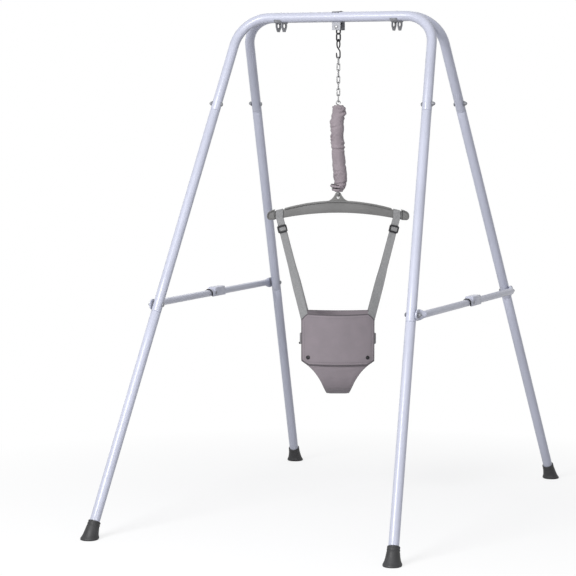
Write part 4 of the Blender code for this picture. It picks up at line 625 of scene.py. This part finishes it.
eye = []
for i in range(19):
    angle = math.radians(60.0 + 300.0 * i / 18)
    eye.append((EYE_BOW * math.sin(angle), 0.0, SPRING_TOP - EYE_BOW - EYE_BOW * math.cos(angle)))
tail = [(-x, y, SPRING_TOP + SPRING_BOTTOM - z) for x, y, z in eye[::-1]]
coil_top, coil_bottom = SPRING_TOP - 0.0210, SPRING_BOTTOM + 0.0210
wire = eye + [(0.0058, -0.0013, eye[-1][2] - 0.0035)]
for i in range(431):
    angle = 2 * math.pi * COIL_TURNS * i / 430
    height = coil_top + (coil_bottom - coil_top) * i / 430
    wire.append((COIL_RADIUS * math.cos(angle) + 0.6 * drift(height), COIL_RADIUS * math.sin(angle), height))
wire += [(-0.0058, 0.0013, tail[0][2] + 0.0035)] + tail
coil = swept(stations(wire, 0.0014), 10)
coil.transform(TURN)
coil_piece = fit("spring_coil", coil, bright_steel, None, "spring", angle=70.0)
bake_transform(coil_piece)

ring = link(0.0140, 0.828573, 0.808573, 0.0016, 90.0)
ring.transform(TURN)
fit("joining_ring", ring, bright_steel, "bounce_ring", "spring_ring", angle=60.0)


# Sleeve: a tube of soft mauve-grey cloth slipped over the spring, longer than the slack spring,
# so that it sinks into slanting folds; its hemmed ends are gathered and roll out. Thin black
# rings laid in the lower hem's folds are painted shade.

sleeve_cloth = finish("sleeve_cloth", "mauve_sleeve_cloth", (0.262, 0.224, 0.246), 0.8, sheen=0.25,
                      specular=0.3)
clouds(sleeve_cloth, (0.248, 0.212, 0.233), (0.276, 0.237, 0.260), 40.0, 5.0)


def weave(material, pitch, height, zigzag=0.0):
    """Threads over and under on a cloth's UV, which is in metres; zigzag makes it a herringbone."""
    place = node(material, "UVMap", uv_map="UVMap")
    parts = node(material, "SeparateXYZ")
    join(material, place, "UV", parts, "Vector")
    source, output = parts, "Y"
    if zigzag:
        fold = node(material, "Math", {1: zigzag}, operation="PINGPONG")
        source, output = node(material, "Math", operation="ADD"), "Value"
        join(material, parts, "X", fold, 0)
        join(material, fold, "Value", source, 0)
        join(material, parts, "Y", source, 1)
    waves = []
    for origin, socket in ((parts, "X"), (source, output)):
        count = node(material, "Math", {1: 2 * math.pi / pitch}, operation="MULTIPLY")
        wave = node(material, "Math", operation="SINE")
        join(material, origin, socket, count, 0)
        join(material, count, "Value", wave, 0)
        waves.append(wave)
    cross = node(material, "Math", operation="ADD" if zigzag else "MULTIPLY")
    join(material, waves[0], "Value", cross, 0)
    join(material, waves[1], "Value", cross, 1)
    relief = node(material, "Bump", {"Strength": 0.6, "Distance": height})
    join(material, cross, "Value", relief, "Height")
    join(material, relief, "Normal", material.node_tree.nodes["Principled BSDF"], "Normal")


def cloth(columns, rows, size, spot, seam=False):
    """A grid of cloth laid by spot(across, along), sewn along its sides if it has a seam."""
    shape = bmesh.new()
    layer = shape.loops.layers.uv.new("UVMap")
    bmesh.ops.create_grid(shape, x_segments=columns, y_segments=rows, size=0.5, calc_uvs=True)
    for face in shape.faces:
        for corner in face.loops:
            corner[layer].uv = (corner[layer].uv.x * size[0], corner[layer].uv.y * size[1])
    for vert in shape.verts:
        vert.co = spot(min(1.0, max(0.0, vert.co.x + 0.5)), min(1.0, max(0.0, vert.co.y + 0.5)))
    if seam:
        bmesh.ops.remove_doubles(shape, verts=shape.verts[:], dist=0.000001)
    return shape


def thickened(shape, thickness):
    """The same cloth with a thickness behind its face."""
    shape.normal_update()
    bmesh.ops.solidify(shape, geom=shape.faces[:], thickness=thickness)
    return shape


weave(sleeve_cloth, 0.0008, 0.00010)

# share down the sleeve, angle from the jumper's right, degrees it reaches round, depth in 1/800 m,
# half height and slant as shares of the sleeve
creases = [(0.075, 322, 42, 2.2, 0.014, 0.020), (0.130, 355, 26, 1.2, 0.012, 0.0),
           (0.150, 190, 34, 1.5, 0.020, 0.0), (0.262, 222, 46, 1.5, 0.011, 0.010),
           (0.372, 200, 38, 2.2, 0.011, 0.035), (0.415, 192, 30, 1.5, 0.010, 0.0),
           (0.455, 338, 34, 1.2, 0.013, -0.010), (0.508, 270, 105, 1.3, 0.010, 0.0),
           (0.600, 215, 26, 0.6, 0.020, 0.0), (0.770, 214, 46, 1.4, 0.012, 0.006),
           (0.842, 205, 34, 1.7, 0.016, 0.040), (0.905, 262, 80, 1.5, 0.010, 0.012),
           (0.110, 90, 80, 1.6, 0.014, 0.012), (0.235, 60, 60, 1.5, 0.012, -0.012),
           (0.335, 120, 60, 1.7, 0.012, 0.015), (0.460, 75, 80, 1.5, 0.012, 0.0),
           (0.590, 110, 60, 1.3, 0.013, 0.012), (0.700, 60, 60, 1.6, 0.012, -0.015),
           (0.810, 100, 70, 1.5, 0.012, 0.010), (0.900, 80, 70, 1.6, 0.012, 0.0)]


def fold(share, angle):
    """The folds' height over the plain tube: listed creases, each with a soft roll either side."""
    rise = 0.0
    for at, where, reach, depth, tall, slant in creases:
        turn = (math.degrees(angle) - where + 180.0) % 360.0 - 180.0
        off = (share - at + slant * turn / reach) / tall
        near = math.exp(-(turn / reach) ** 2) * depth / 800
        rise += near * (0.60 * math.exp(-((abs(off) - 2.2) / 1.1) ** 2) - math.exp(-off * off))
    around = Vector((math.cos(angle), math.sin(angle), 0.0))
    rise += 0.0022 * noise.noise(around * 0.8 + Vector((0.0, 0.0, share * 7.5 + 4.0)))
    return rise + 0.0006 * noise.noise(around * 1.2 + Vector((2.0, 5.0, share * 24.0)))


def sleeve_spot(across, along):
    """A point of the sleeve's outer face."""
    angle = -2 * math.pi * across
    height = SLEEVE_TOP + (SLEEVE_BOTTOM - SLEEVE_TOP) * along
    gather = 1.0 - smoothstep(along / 0.045) if along < 0.5 else 1.0 - smoothstep((1.0 - along) / 0.075)
    neck = (0.0116 if along < 0.5 else 0.0098) + 0.0007 * math.cos(9 * angle + 1.0)
    belly = 0.0172 - 0.0012 * math.exp(-((along - 0.53) / 0.05) ** 2)
    belly -= 0.0014 * smoothstep((along - 0.8) / 0.1)
    radius = belly + fold(along, angle)
    radius += (neck - radius) * gather ** 1.3
    return Vector((radius * math.cos(angle) + drift(height), radius * math.sin(angle), height))


def rolled_hem(height, centre, radius, thick, lean, seed):
    """A hem rolled out: a lumpy ring, thicker on its left and standing at a slant."""
    points, radii = [], []
    for i in range(72):
        angle = 2 * math.pi * i / 72
        left = 0.5 - 0.5 * math.cos(angle)
        lump = noise.noise(Vector((2.2 * math.cos(angle), 2.2 * math.sin(angle), seed)))
        reach = radius + 0.0026 * left + 0.0009 * lump
        points.append((centre + reach * math.cos(angle), reach * math.sin(angle),
                       height + lean * math.cos(angle) + 0.0008 * lump))
        radii.append(thick * (0.70 + 0.45 * left + 0.35 * lump))
    return swept(stations(points, radii, True), 16, True)


sleeve_shape = cloth(120, 260, (0.110, 0.245), sleeve_spot, seam=True)
sleeve_area = sum(face.calc_area() for face in sleeve_shape.faces)
sleeve_shape = thickened(sleeve_shape, 0.0007)
sleeve_shape.transform(TURN)
sleeve = fit("gathered_sleeve", sleeve_shape, sleeve_cloth, None, "spring_sleeve", angle=80.0)
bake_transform(sleeve)

upper_hem = rolled_hem(1.0385, 0.0, 0.0138, 0.0026, 0.0014, 3.0)
upper_hem.transform(TURN @ Matrix.Rotation(math.pi, 4, "Z"))
upper_hem = fit("sleeve_upper_hem", upper_hem, sleeve_cloth, "spring_unit", angle=80.0)
lower_hem = together(rolled_hem(0.8350, -0.0004, 0.0136, 0.0031, -0.0026, 7.0),
                     rolled_hem(0.8268, -0.0002, 0.0102, 0.0029, -0.0012, 11.0))
lower_hem.transform(TURN)
lower_hem = fit("sleeve_lower_hem", lower_hem, sleeve_cloth, "bounce_ring", angle=80.0)

# Thin black rings laid in the lower hem's folds: painted shade in the slots beside the rolls.
fold_shade_rings = []
for height, radius, lean in ((0.8306, 0.0142, -0.0018), (0.8394, 0.0156, -0.0030)):
    points = []
    for i in range(60):
        c, s = math.cos(2 * math.pi * i / 60), math.sin(2 * math.pi * i / 60)
        points.append((-0.0010 + (radius - 0.0014 * c) * c, radius * s, height + lean * c))
    fold_shade_rings.append(swept(stations(points, 0.0008, True), 10, True))
fold_shade = together(*fold_shade_rings)
fold_shade.transform(TURN)
fit("sleeve_fold_shade", fold_shade, black_plastic, "bounce_ring")


# Hanger bar: a grey moulded arch of T section, its rim wider than its web, with an ear for the
# ring and a hollowed, rounded lug past each strap seat.

grey_plastic = finish("grey_plastic", "mid_grey_moulding", (0.150, 0.149, 0.147), 0.46, specular=0.3)
clouds(grey_plastic, (0.138, 0.137, 0.135), (0.162, 0.161, 0.159), 22.0, rough=(0.38, 0.54))
grain(grey_plastic, 1000.0, 0.00006)

SEAT_SLOPE = math.radians(14.0)
BAR_DEPTH, RIM_THICK = 0.022, 0.0042
LUG_X, LUG_MIDDLE = 0.1630, 0.1667


def bar_top(x):
    """The rim's upper edge."""
    return 0.7993 - x * x / 0.98


def bar_bottom(x):
    """The web's lower edge."""
    return max(0.7500, 0.7684 - x * x / 1.48)


def strap_seat(x):
    """The sloping seat that each strap is folded over."""
    return 0.7770 - (abs(x) - 0.1395) * math.tan(SEAT_SLOPE)


along_bar = [-0.138 + 0.276 * i / 36 for i in range(37)]
shoulder = [(LUG_X, bar_bottom(LUG_X) + 0.0003), (LUG_MIDDLE, 0.7521), (LUG_MIDDLE, strap_seat(LUG_X)),
            (0.1395, 0.7770), (0.1338, bar_top(0.1338) - RIM_THICK / 2)]
web = [(x, bar_bottom(x)) for x in along_bar] + shoulder
web += [(x, bar_top(x) - RIM_THICK / 2) for x in along_bar[-2:0:-1]] + [(-x, z) for x, z in shoulder[::-1]]
rim = [(x, bar_top(x)) for x in along_bar] + [(x, bar_top(x) - RIM_THICK) for x in along_bar[::-1]]
bar = together(slab(web, 0.015, 0.0010), slab(rim, BAR_DEPTH, 0.0011, segments=3))
lug_outline = [(LUG_X, 0.7500), (0.1760, 0.7495), (0.1805, 0.7510), (0.1830, 0.7545), (0.1838, 0.7590),
               (0.1834, 0.7640), (0.1815, 0.7680), (0.1780, 0.7712), (0.1720, 0.7740), (LUG_X, 0.7770)]
for side in (-1, 1):
    lug = slab([(side * x, z) for x, z in lug_outline][::side], BAR_DEPTH, 0.0015, segments=3)
    faces = [face for face in lug.faces if abs(face.normal.z) > 0.99 and face.calc_area() > 0.0001]
    bmesh.ops.inset_region(lug, faces=faces, thickness=0.0032, depth=-0.0035)
    bar = together(bar, lug)
ear = [(0.0300, 0.7951), (0.0295, 0.7979), (0.0230, 0.7997), (0.0182, 0.8024), (0.0148, 0.8056),
       (0.0120, 0.8092), (0.0095, 0.8130), (0.0077, 0.8170), (0.0054, 0.8201), (0.0024, 0.8214)]
ear += [(-x, z) for x, z in ear[::-1]]
ear_hole = [(x, 0.8080 + z) for x, z in arc(0.0036, 0.0, 351.0, 39)]
bar = together(bar, slab(ear, 0.006, 0.0005, hole=ear_hole))
bar.transform(TURN @ upright)
fit("moulded_bar", bar, grey_plastic, "hanger", "hanger_bar")


# Straps: grey herringbone webbing from the front panel up over the bar and down to the back
# panel, turned from edge-on at the seat to flat against the bar, and drawn narrower there.

BOW = 0.016
PANEL_HALF, PANEL_DEPTH, PANEL_TOP = 0.0927, 0.0625, 0.5110
STRAP_X, STRAP_TOP, STRAP_FOOT = 0.1513, 0.7570, 0.4920
STRAP_WIDE, STRAP_NARROW, STRAP_DEPTH, STRAP_CORNER = 0.0216, 0.0182, 0.0098, 0.0015
webbing = finish("grey_webbing", "grey_webbing", (0.250, 0.251, 0.255), 0.8, sheen=0.15)
clouds(webbing, (0.222, 0.223, 0.227), (0.278, 0.279, 0.283), 260.0, 5.0)
weave(webbing, 0.0016, 0.00025, zigzag=0.0055)
strap_lean = (STRAP_X - 0.0832) / (STRAP_TOP - STRAP_FOOT)
at_bar = Vector((math.cos(SEAT_SLOPE), 0.0, -math.sin(SEAT_SLOPE)))


def bowed(x, depth):
    """How far forward a bowed panel of a given middle depth lies at x."""
    return depth - BOW * (x / PANEL_HALF) ** 2


def strap_line(height):
    """Where a strap's middle runs at a height: its x and its distance from the middle plane."""
    low_x = STRAP_X + (min(height, PANEL_TOP) - STRAP_TOP) * strap_lean
    panel = bowed(low_x, PANEL_DEPTH) + 0.0014
    share = max(0.0, min(1.0, (height - PANEL_TOP) / (STRAP_TOP - PANEL_TOP)))
    return STRAP_X + (height - STRAP_TOP) * strap_lean, panel + (STRAP_DEPTH - panel) * share


def strap_stations():
    """Centre, width way and width along a strap, from the front panel over the bar to the back."""
    up = Vector((math.sin(SEAT_SLOPE), 0.0, math.cos(SEAT_SLOPE)))
    at_seat = (at_bar + Vector((0.0, 2 * BOW * 0.0850 / PANEL_HALF ** 2, 0.0))).normalized()
    run = []
    for i in range(61):
        height = STRAP_FOOT + (STRAP_TOP - STRAP_FOOT) * i / 60
        twist = 1.0 - smoothstep((height - 0.5150) / 0.145)
        x, depth = strap_line(height)
        width = STRAP_WIDE - (STRAP_WIDE - STRAP_NARROW) * smoothstep((height - 0.580) / 0.060)
        run.append((Vector((x, -depth, height)), at_seat * twist + at_bar * (1.0 - twist), width))
    for height in (0.7612, 0.7655, 0.7698):
        run.append((Vector((STRAP_X, -STRAP_DEPTH, height)), at_bar, STRAP_NARROW))
    top = Vector((STRAP_X, 0.0, strap_seat(STRAP_X)))
    for rise, inwards in arc(STRAP_CORNER, 90.0, -90.0, 3):
        depth = STRAP_DEPTH - STRAP_CORNER + inwards
        run.append((top + up * rise - Vector((0.0, depth, 0.0)), at_bar, STRAP_NARROW))
    for depth in (0.0056, 0.0028):
        run.append((top + up * STRAP_CORNER - Vector((0.0, depth, 0.0)), at_bar, STRAP_NARROW))
    return run + [(Vector((c.x, -c.y, c.z)), Vector((w.x, -w.y, w.z)), wide) for c, w, wide in run[::-1]]


strap_run = strap_stations()


def strap_spot(across, along):
    """A point of the right strap's outer face."""
    i = round(along * (len(strap_run) - 1))
    centre, way, width = strap_run[i]
    ahead = (strap_run[min(i + 1, len(strap_run) - 1)][0] - strap_run[max(i - 1, 0)][0]).normalized()
    way = (way - ahead * ahead.dot(way)).normalized()
    return centre + way * width * (across - 0.5) + way.cross(ahead) * 0.0009


for side_name, side in SIDES:
    band = thickened(cloth(10, len(strap_run) - 1, (0.022, 0.56), strap_spot), 0.0018)
    rims = [edge for edge in band.edges if edge.calc_face_angle() > math.radians(60.0)]
    ease(band, rims, 0.0004)
    band.transform(TURN @ Matrix.Scale(side, 4, (1.0, 0.0, 0.0)))
    fit(side_name + "_webbing", band, webbing, "hanger", side_name + "_strap", angle=70.0)


# Strap adjusters: black moulded ladder-locks, a thick rounded frame in front of the webbing, two
# cheeks at its edges and a bar behind.

def rounded_box(width, height, radius, steps=6):
    """A rounded rectangle's outline."""
    points = []
    for cx, cy, start in ((1, 1, 0.0), (-1, 1, 90.0), (-1, -1, 180.0), (1, -1, 270.0)):
        for x, y in arc(radius, start, 90.0, steps):
            points.append((cx * (width / 2 - radius) + x, cy * (height / 2 - radius) + y))
    return points


SLIDER_HEIGHT = 0.727
x, depth = strap_line(SLIDER_HEIGHT)
ahead_x, ahead_depth = strap_line(SLIDER_HEIGHT + 0.010)
along = Vector((ahead_x - x, depth - ahead_depth, 0.010)).normalized()
way = (at_bar - along * along.dot(at_bar)).normalized()
slider_place = Matrix((way, along, way.cross(along))).transposed().to_4x4()
slider_place.translation = (x, -depth, SLIDER_HEIGHT)
front = 1.0 if way.cross(along).y < 0 else -1.0
for side_name, side in SIDES:
    ahead = Matrix.Translation((0.0, 0.0, front * 0.0026))
    window = rounded_box(0.0176, 0.0106, 0.0025)
    buckle = slab(rounded_box(0.0252, 0.0204, 0.0052), 0.0026, 0.0007, hole=window, place=ahead)
    for edge in (-1, 1):
        cheek = Matrix.Translation((edge * 0.0110, 0.0, 0.0))
        buckle = together(buckle, slab(rounded_box(0.0028, 0.017, 0.0010, 3), 0.0058, 0.0006, place=cheek))
    back = Matrix.Translation((0.0, 0.0, -front * 0.0022))
    buckle = together(buckle, slab(rounded_box(0.0244, 0.0036, 0.0010, 3), 0.0015, 0.0004, place=back))
    buckle.transform(TURN @ Matrix.Scale(side, 4, (1.0, 0.0, 0.0)) @ slider_place)
    fit(side_name + "_buckle", buckle, black_plastic, "adjuster_" + side_name, side_name + "_strap_adjuster")


# Seat: a lightly padded bucket of grey cloth cut as one strip, front panel, crotch and back
# panel, with round leg holes and a bowed band across each hip.

seat_cloth = finish("seat_cloth", "warm_grey_seat_cloth", (0.218, 0.190, 0.209), 0.85, sheen=0.25)
clouds(seat_cloth, (0.208, 0.182, 0.200), (0.228, 0.198, 0.218), 30.0, 3.0)
weave(seat_cloth, 0.0009, 0.00010)
band_cloth = finish("seat_cloth", "dark_band_cloth", (0.165, 0.155, 0.165), 0.85, sheen=0.25)
clouds(band_cloth, (0.145, 0.136, 0.145), (0.185, 0.174, 0.185), 120.0)


def panel_half_width(z):
    """The panels' half width at a height: upright sides between slanting, eased corners."""
    top, foot = max(0.0, (z - 0.4940) / 0.0170), max(0.0, (0.3925 - z) / 0.0125)
    return PANEL_HALF - 0.0150 * top ** 1.35 - 0.0190 * foot ** 1.3


def sag(x, z):
    """How far the free top edges hang down between the straps."""
    return 0.0033 * (1.0 - (x / PANEL_HALF) ** 2) * smoothstep((z - 0.468) / 0.043)


PANEL_FOOT, BAND_HEIGHT, BAND_WIDTH = 0.3890, 0.4425, 0.024
band_end = bowed(PANEL_HALF, PANEL_DEPTH) - 0.0015
seat_rows = []
for i in range(41):
    z = PANEL_TOP - (PANEL_TOP - PANEL_FOOT) * i / 40
    seat_rows.append((panel_half_width(max(z, 0.41)), PANEL_DEPTH, z, 0.0))

# half width, depth from the middle plane, height and lean in degrees of the crotch's rows
knots = [(PANEL_HALF, PANEL_DEPTH, PANEL_FOOT, 0.0), (0.0740, 0.0622, 0.3758, 4.0),
         (0.0592, 0.0606, 0.3608, 9.0), (0.0448, 0.0560, 0.3395, 20.0), (0.0358, 0.0450, 0.3195, 38.0),
         (0.0304, 0.0270, 0.3058, 61.0), (0.0282, 0.0095, 0.3000, 84.0), (0.0279, 0.0, 0.2993, 90.0)]
seat_rows += [tuple(row) for row in curve_through(knots, 7)[1:]]
seat_strip = [(row, 1) for row in seat_rows] + [(row, -1) for row in seat_rows[-2::-1]]
count = len(seat_strip) - 1


def seat_point(index, share, out=0.0):
    """A point of the seat's outer face: share -1 to 1 across a row, out further outwards."""
    (half, depth, height, lean), facing = seat_strip[index]
    tilt = math.radians(lean)
    x = share * half
    edge = smoothstep((1.0 - abs(share)) * half / 0.010)
    lump = noise.noise(Vector((x * 16.0, height * 14.0, 3.0 * facing + depth * 18.0)))
    out += 0.0009 * edge + 0.0005 * lump * edge
    y = depth - BOW * (x / PANEL_HALF) ** 2 * math.cos(tilt) + out * math.cos(tilt)
    return Vector((x, -facing * y, height - sag(x, height) - out * math.sin(tilt)))


def seat_spot(across, along):
    """The seat's outer face as a strip of cloth, from the front panel's top to the back's."""
    return seat_point(round(along * count), 1.0 - 2.0 * across)


def band_spot(across, along):
    """A point of the right hip band, bowed out past the panels' edges."""
    run = 2 * along - 1
    x = PANEL_HALF - 0.0030 + 0.0092 * (1 - run ** 2)
    return Vector((x, band_end * run, BAND_HEIGHT + BAND_WIDTH * (0.5 - across)))


seat_shape = thickened(cloth(40, count, (2 * PANEL_HALF, 0.46), seat_spot), 0.0030)
seat_shape.transform(TURN)
seat = fit("seat_bucket", seat_shape, seat_cloth, "hanger", "seat", angle=65.0)

for side_name, side in SIDES:
    band = thickened(cloth(10, 32, (BAND_WIDTH, 2 * band_end), band_spot), 0.0026)
    band.transform(TURN @ Matrix.Scale(side, 4, (1.0, 0.0, 0.0)))
    fit(side_name + "_hip_band", band, band_cloth, "hanger", angle=65.0)
clip = slab(rounded_box(0.0060, 0.0052, 0.0014, 3), 0.0034, 0.0006,
            place=Matrix.Translation((-PANEL_HALF - 0.0052, -0.012, 0.4312)) @ upright)
clip.transform(TURN)
fit("band_clip", clip, black_plastic, "hanger")


# Seat piping: dark woven tape folded over a thin cord and sewn round the seat's raw edges, down
# each side of the strip and across its two ends.

piping_cloth = finish("seat_cloth", "dark_piping_tape", (0.085, 0.076, 0.084), 0.85, sheen=0.2)
clouds(piping_cloth, (0.070, 0.063, 0.069), (0.105, 0.094, 0.104), 300.0)
edge_runs = [[seat_point(i, share, -0.0015) for i in range(count + 1)] for share in (1.0, -1.0)]
edge_runs += [[seat_point(row, i / 20 - 1.0, -0.0015) for i in range(41)] for row in (0, count)]
piping = together(*[swept(stations(run, 0.0014), 10) for run in edge_runs])
piping.transform(TURN)
fit("seat_edge_piping", piping, piping_cloth, "hanger", angle=70.0)


# Chest flap: the outer padded panel of the same cloth, hinged along its top and held at its lower
# corners; dark piping runs right round it and a line of stitches holds it down.

FLAP_DEPTH, FLAP_TOP, FLAP_DROP = 0.0680, 0.5114, 0.1312


def flap_point(share, along, out=0.0):
    """A point of the flap's outer face: share -1 to 1 across, along 0 to 1 down."""
    z = FLAP_TOP - FLAP_DROP * along
    half = panel_half_width(z)
    x = share * half
    edge = smoothstep(min((1.0 - abs(share)) * half, FLAP_DROP * along, FLAP_DROP * (1.0 - along)) / 0.011)
    lump = noise.noise(Vector((x * 13.0 + 4.0, z * 11.0, 1.7)))
    out += 0.0010 * edge + 0.0005 * lump * edge
    hem = 0.0009 * (1.0 - share * share) * smoothstep((along - 0.8) / 0.2)
    return Vector((x, -(bowed(x, FLAP_DEPTH - 0.0006) + out), z - sag(x, z) - hem))


def flap_spot(across, along):
    """The flap's outer face as a piece of cloth, from its top down."""
    return flap_point(1.0 - 2.0 * across, along)


flap_shape = thickened(cloth(48, 64, (2 * PANEL_HALF, FLAP_DROP), flap_spot), 0.0022)
flap_shape.transform(TURN)
flap = fit("chest_panel", flap_shape, seat_cloth, "chest_flap", "chest_flap", angle=65.0)

edge_run = [flap_point(i / 20 - 1.0, 0.0, -0.0006) for i in range(1, 40)]
edge_run += [flap_point(1.0, i / 60, -0.0006) for i in range(61)]
edge_run += [flap_point(1.0 - i / 20, 1.0, -0.0002) for i in range(1, 40)]
edge_run += [flap_point(-1.0, 1.0 - i / 60, -0.0006) for i in range(61)]
flap_edge = swept(stations(edge_run, 0.0015, True), 10, True)
flap_edge.transform(TURN)
fit("chest_panel_piping", flap_edge, piping_cloth, "chest_flap", angle=70.0)

thread = finish("seat_cloth", "grey_sewing_thread", (0.155, 0.138, 0.150), 0.7)
clouds(thread, (0.13, 0.115, 0.125), (0.18, 0.16, 0.175), 900.0)
inset, across_count, down_count = 0.0072, 100, 70
seam_run = [(-1.0 + 2.0 * i / across_count, 0.0) for i in range(across_count)]
seam_run += [(1.0, i / down_count) for i in range(down_count)]
seam_run += [(1.0 - 2.0 * i / across_count, 1.0) for i in range(across_count)]
seam_run += [(-1.0, 1.0 - i / down_count) for i in range(down_count)]
stitch_run = []
for i, (share, along) in enumerate(seam_run):
    down = 0.055 + (1.0 - 0.11) * along
    width = panel_half_width(FLAP_TOP - FLAP_DROP * down) - inset
    dip = (0.00015, 0.00025, -0.00075)[i % 3]
    stitch_run.append(flap_point(share * width / (width + inset), down, dip))
stitches = swept(stations(stitch_run, 0.00042, True), 6, True)
stitches.transform(TURN)
fit("chest_panel_stitches", stitches, thread, "chest_flap", angle=70.0)


# Press studs: black moulded plastic caps, each with a dished crown, snapped through the flap's
# lower corners to hold them to the front panel.

STUD_X, STUD_HEIGHT = 0.0765, 0.3985
stud_slope = math.atan(2 * BOW * STUD_X / PANEL_HALF ** 2)
stud_profile = [(0.0, 0.0), (0.0050, 0.0), (0.0052, 0.0004), (0.0051, 0.0012), (0.0044, 0.0020),
                (0.0035, 0.0023), (0.0029, 0.0020), (0.0024, 0.0021), (0.0012, 0.0026), (0.0, 0.0027)]
for side_name, side in SIDES:
    place = Matrix.Translation((side * STUD_X, -bowed(STUD_X, FLAP_DEPTH), STUD_HEIGHT))
    stud = turned(stud_profile, 32, place @ Matrix.Rotation(side * stud_slope, 4, "Z") @ upright)
    stud.transform(TURN)
    fit(side_name + "_snap", stud, black_plastic, "chest_flap", side_name + "_press_stud")


# Camera: a long lens at chest height, right of the middle and looking a little down, where the
# photograph was taken from.

camera_data = bpy.data.cameras.new("camera")
camera_data.sensor_width = 36.0
camera_data.lens = 137.0
camera_data.clip_end = 60.0
camera = bpy.data.objects.new("camera", camera_data)
bpy.context.scene.collection.objects.link(camera)
bpy.context.scene.camera = camera
look_azimuth, look_down = math.radians(23.15), math.radians(4.88)
look = Vector((-math.sin(look_azimuth) * math.cos(look_down), math.cos(look_azimuth) * math.cos(look_down),
               -math.sin(look_down)))
camera.location = (2.10487, -5.25190, 1.056)
camera.rotation_mode = "QUATERNION"
camera.rotation_quaternion = look.to_track_quat("-Z", "Y")


# Lights: a strong round softbox high in front that falls off towards the rear legs, a lower one
# at the right front, a weak one above, and little from behind.

def softbox(name, place, aim, size, power):
    """A round softbox at a place, turned towards a point and hidden from the camera."""
    lamp = bpy.data.lights.new(name, "AREA")
    lamp.shape = "DISK"
    lamp.size = size
    lamp.energy = power
    holder = bpy.data.objects.new(name, lamp)
    holder.location = place
    holder.rotation_mode = "QUATERNION"
    holder.rotation_quaternion = (Vector(aim) - Vector(place)).to_track_quat("-Z", "Y")
    holder.visible_camera = False
    bpy.context.scene.collection.objects.link(holder)


softbox("key_softbox", (-0.6, -3.4, 2.2), (0.0, -0.3, 0.6), 1.6, 125.0)
softbox("fill_softbox", (2.3, -3.2, 0.8), (0.1, -0.3, 0.5), 1.6, 30.0)
softbox("top_softbox", (0.2, -0.8, 4.2), (0.0, 0.0, 0.6), 2.2, 8.0)
softbox("back_softbox", (-1.5, 3.8, 2.6), (0.0, 0.0, 0.7), 2.2, 10.0)


# Backdrop: white to the camera and in reflections, while a soft sky, darker below, lights what
# faces up and leaves undersides in shade.

world = bpy.data.worlds.new("studio")
bpy.context.scene.world = world
world.use_nodes = True
world.node_tree.nodes.clear()


def seen_ray(owner):
    """1 for rays from the camera, in reflections and through clear things, and 0 for lighting."""
    rays = node(owner, "LightPath")
    total = node(owner, "Math", operation="MAXIMUM")
    either = node(owner, "Math", operation="MAXIMUM")
    join(owner, rays, "Is Camera Ray", either, 0)
    join(owner, rays, "Is Glossy Ray", either, 1)
    join(owner, either, "Value", total, 0)
    join(owner, rays, "Is Transmission Ray", total, 1)
    return total


sky_place = node(world, "TexCoord")
sky_parts = node(world, "SeparateXYZ")
sky_height = node(world, "MapRange", {"From Min": -1.0, "From Max": 1.0})
sky_ramp = node(world, "ValToRGB")
sky_ramp.color_ramp.elements[0].position = 0.40
sky_ramp.color_ramp.elements[0].color = (0.20, 0.20, 0.22, 1.0)
sky_ramp.color_ramp.elements[1].position = 0.62
sky_ramp.color_ramp.elements[1].color = (0.80, 0.81, 0.83, 1.0)
sky_light = node(world, "Background", {"Strength": 0.58})
sky_white = node(world, "Background", {"Color": (1.0, 1.0, 1.0, 1.0), "Strength": 1.0})
sky_mix = node(world, "MixShader")
sky_out = node(world, "OutputWorld")
join(world, sky_place, "Generated", sky_parts, "Vector")
join(world, sky_parts, "Z", sky_height, "Value")
join(world, sky_height, "Result", sky_ramp, "Fac")
join(world, sky_ramp, "Color", sky_light, "Color")
join(world, seen_ray(world), "Value", sky_mix, "Fac")
join(world, sky_light, "Background", sky_mix, 1)
join(world, sky_white, "Background", sky_mix, 2)
join(world, sky_mix, "Shader", sky_out, "Surface")


# Floor: a plain pale floor, matt paint on one flat sheet, that keeps the stand's soft shadow near
# it and fades to white further out.

floor_paint = bpy.data.materials.new("pale_floor")
floor_paint.use_nodes = True
floor_paint.node_tree.nodes.clear()
floor_matt = node(floor_paint, "BsdfDiffuse", {"Color": (0.42, 0.42, 0.43, 1.0)})
floor_pale = node(floor_paint, "BsdfDiffuse", {"Color": (0.88, 0.88, 0.89, 1.0)})
floor_white = node(floor_paint, "Emission", {"Color": (1.0, 1.0, 1.0, 1.0), "Strength": 1.0})
floor_near = node(floor_paint, "MixShader")
floor_seen = node(floor_paint, "MixShader")
floor_place = node(floor_paint, "TexCoord")
floor_reach = node(floor_paint, "VectorMath", operation="LENGTH")
floor_fade = node(floor_paint, "MapRange", {"From Min": 0.5, "From Max": 1.4, "To Min": 0.72, "To Max": 1.0})
floor_out = node(floor_paint, "OutputMaterial")
join(floor_paint, floor_place, "Object", floor_reach, 0)
join(floor_paint, floor_reach, "Value", floor_fade, "Value")
join(floor_paint, floor_fade, "Result", floor_near, "Fac")
join(floor_paint, floor_pale, "BSDF", floor_near, 1)
join(floor_paint, floor_white, "Emission", floor_near, 2)
join(floor_paint, seen_ray(floor_paint), "Value", floor_seen, "Fac")
join(floor_paint, floor_matt, "BSDF", floor_seen, 1)
join(floor_paint, floor_near, "Shader", floor_seen, 2)
join(floor_paint, floor_seen, "Shader", floor_out, "Surface")
floor_shape = bmesh.new()
bmesh.ops.create_grid(floor_shape, x_segments=1, y_segments=1, size=9.0)
floor_mesh = bpy.data.meshes.new("floor")
floor_shape.to_mesh(floor_mesh)
floor_shape.free()
floor_mesh.materials.append(floor_paint)
floor = bpy.data.objects.new("floor", floor_mesh)
bpy.context.scene.collection.objects.link(floor)
floor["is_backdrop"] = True
bpy.context.scene.view_settings.view_transform = "Standard"


# Size: the box round every piece that is shown, the floor left out.

low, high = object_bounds()
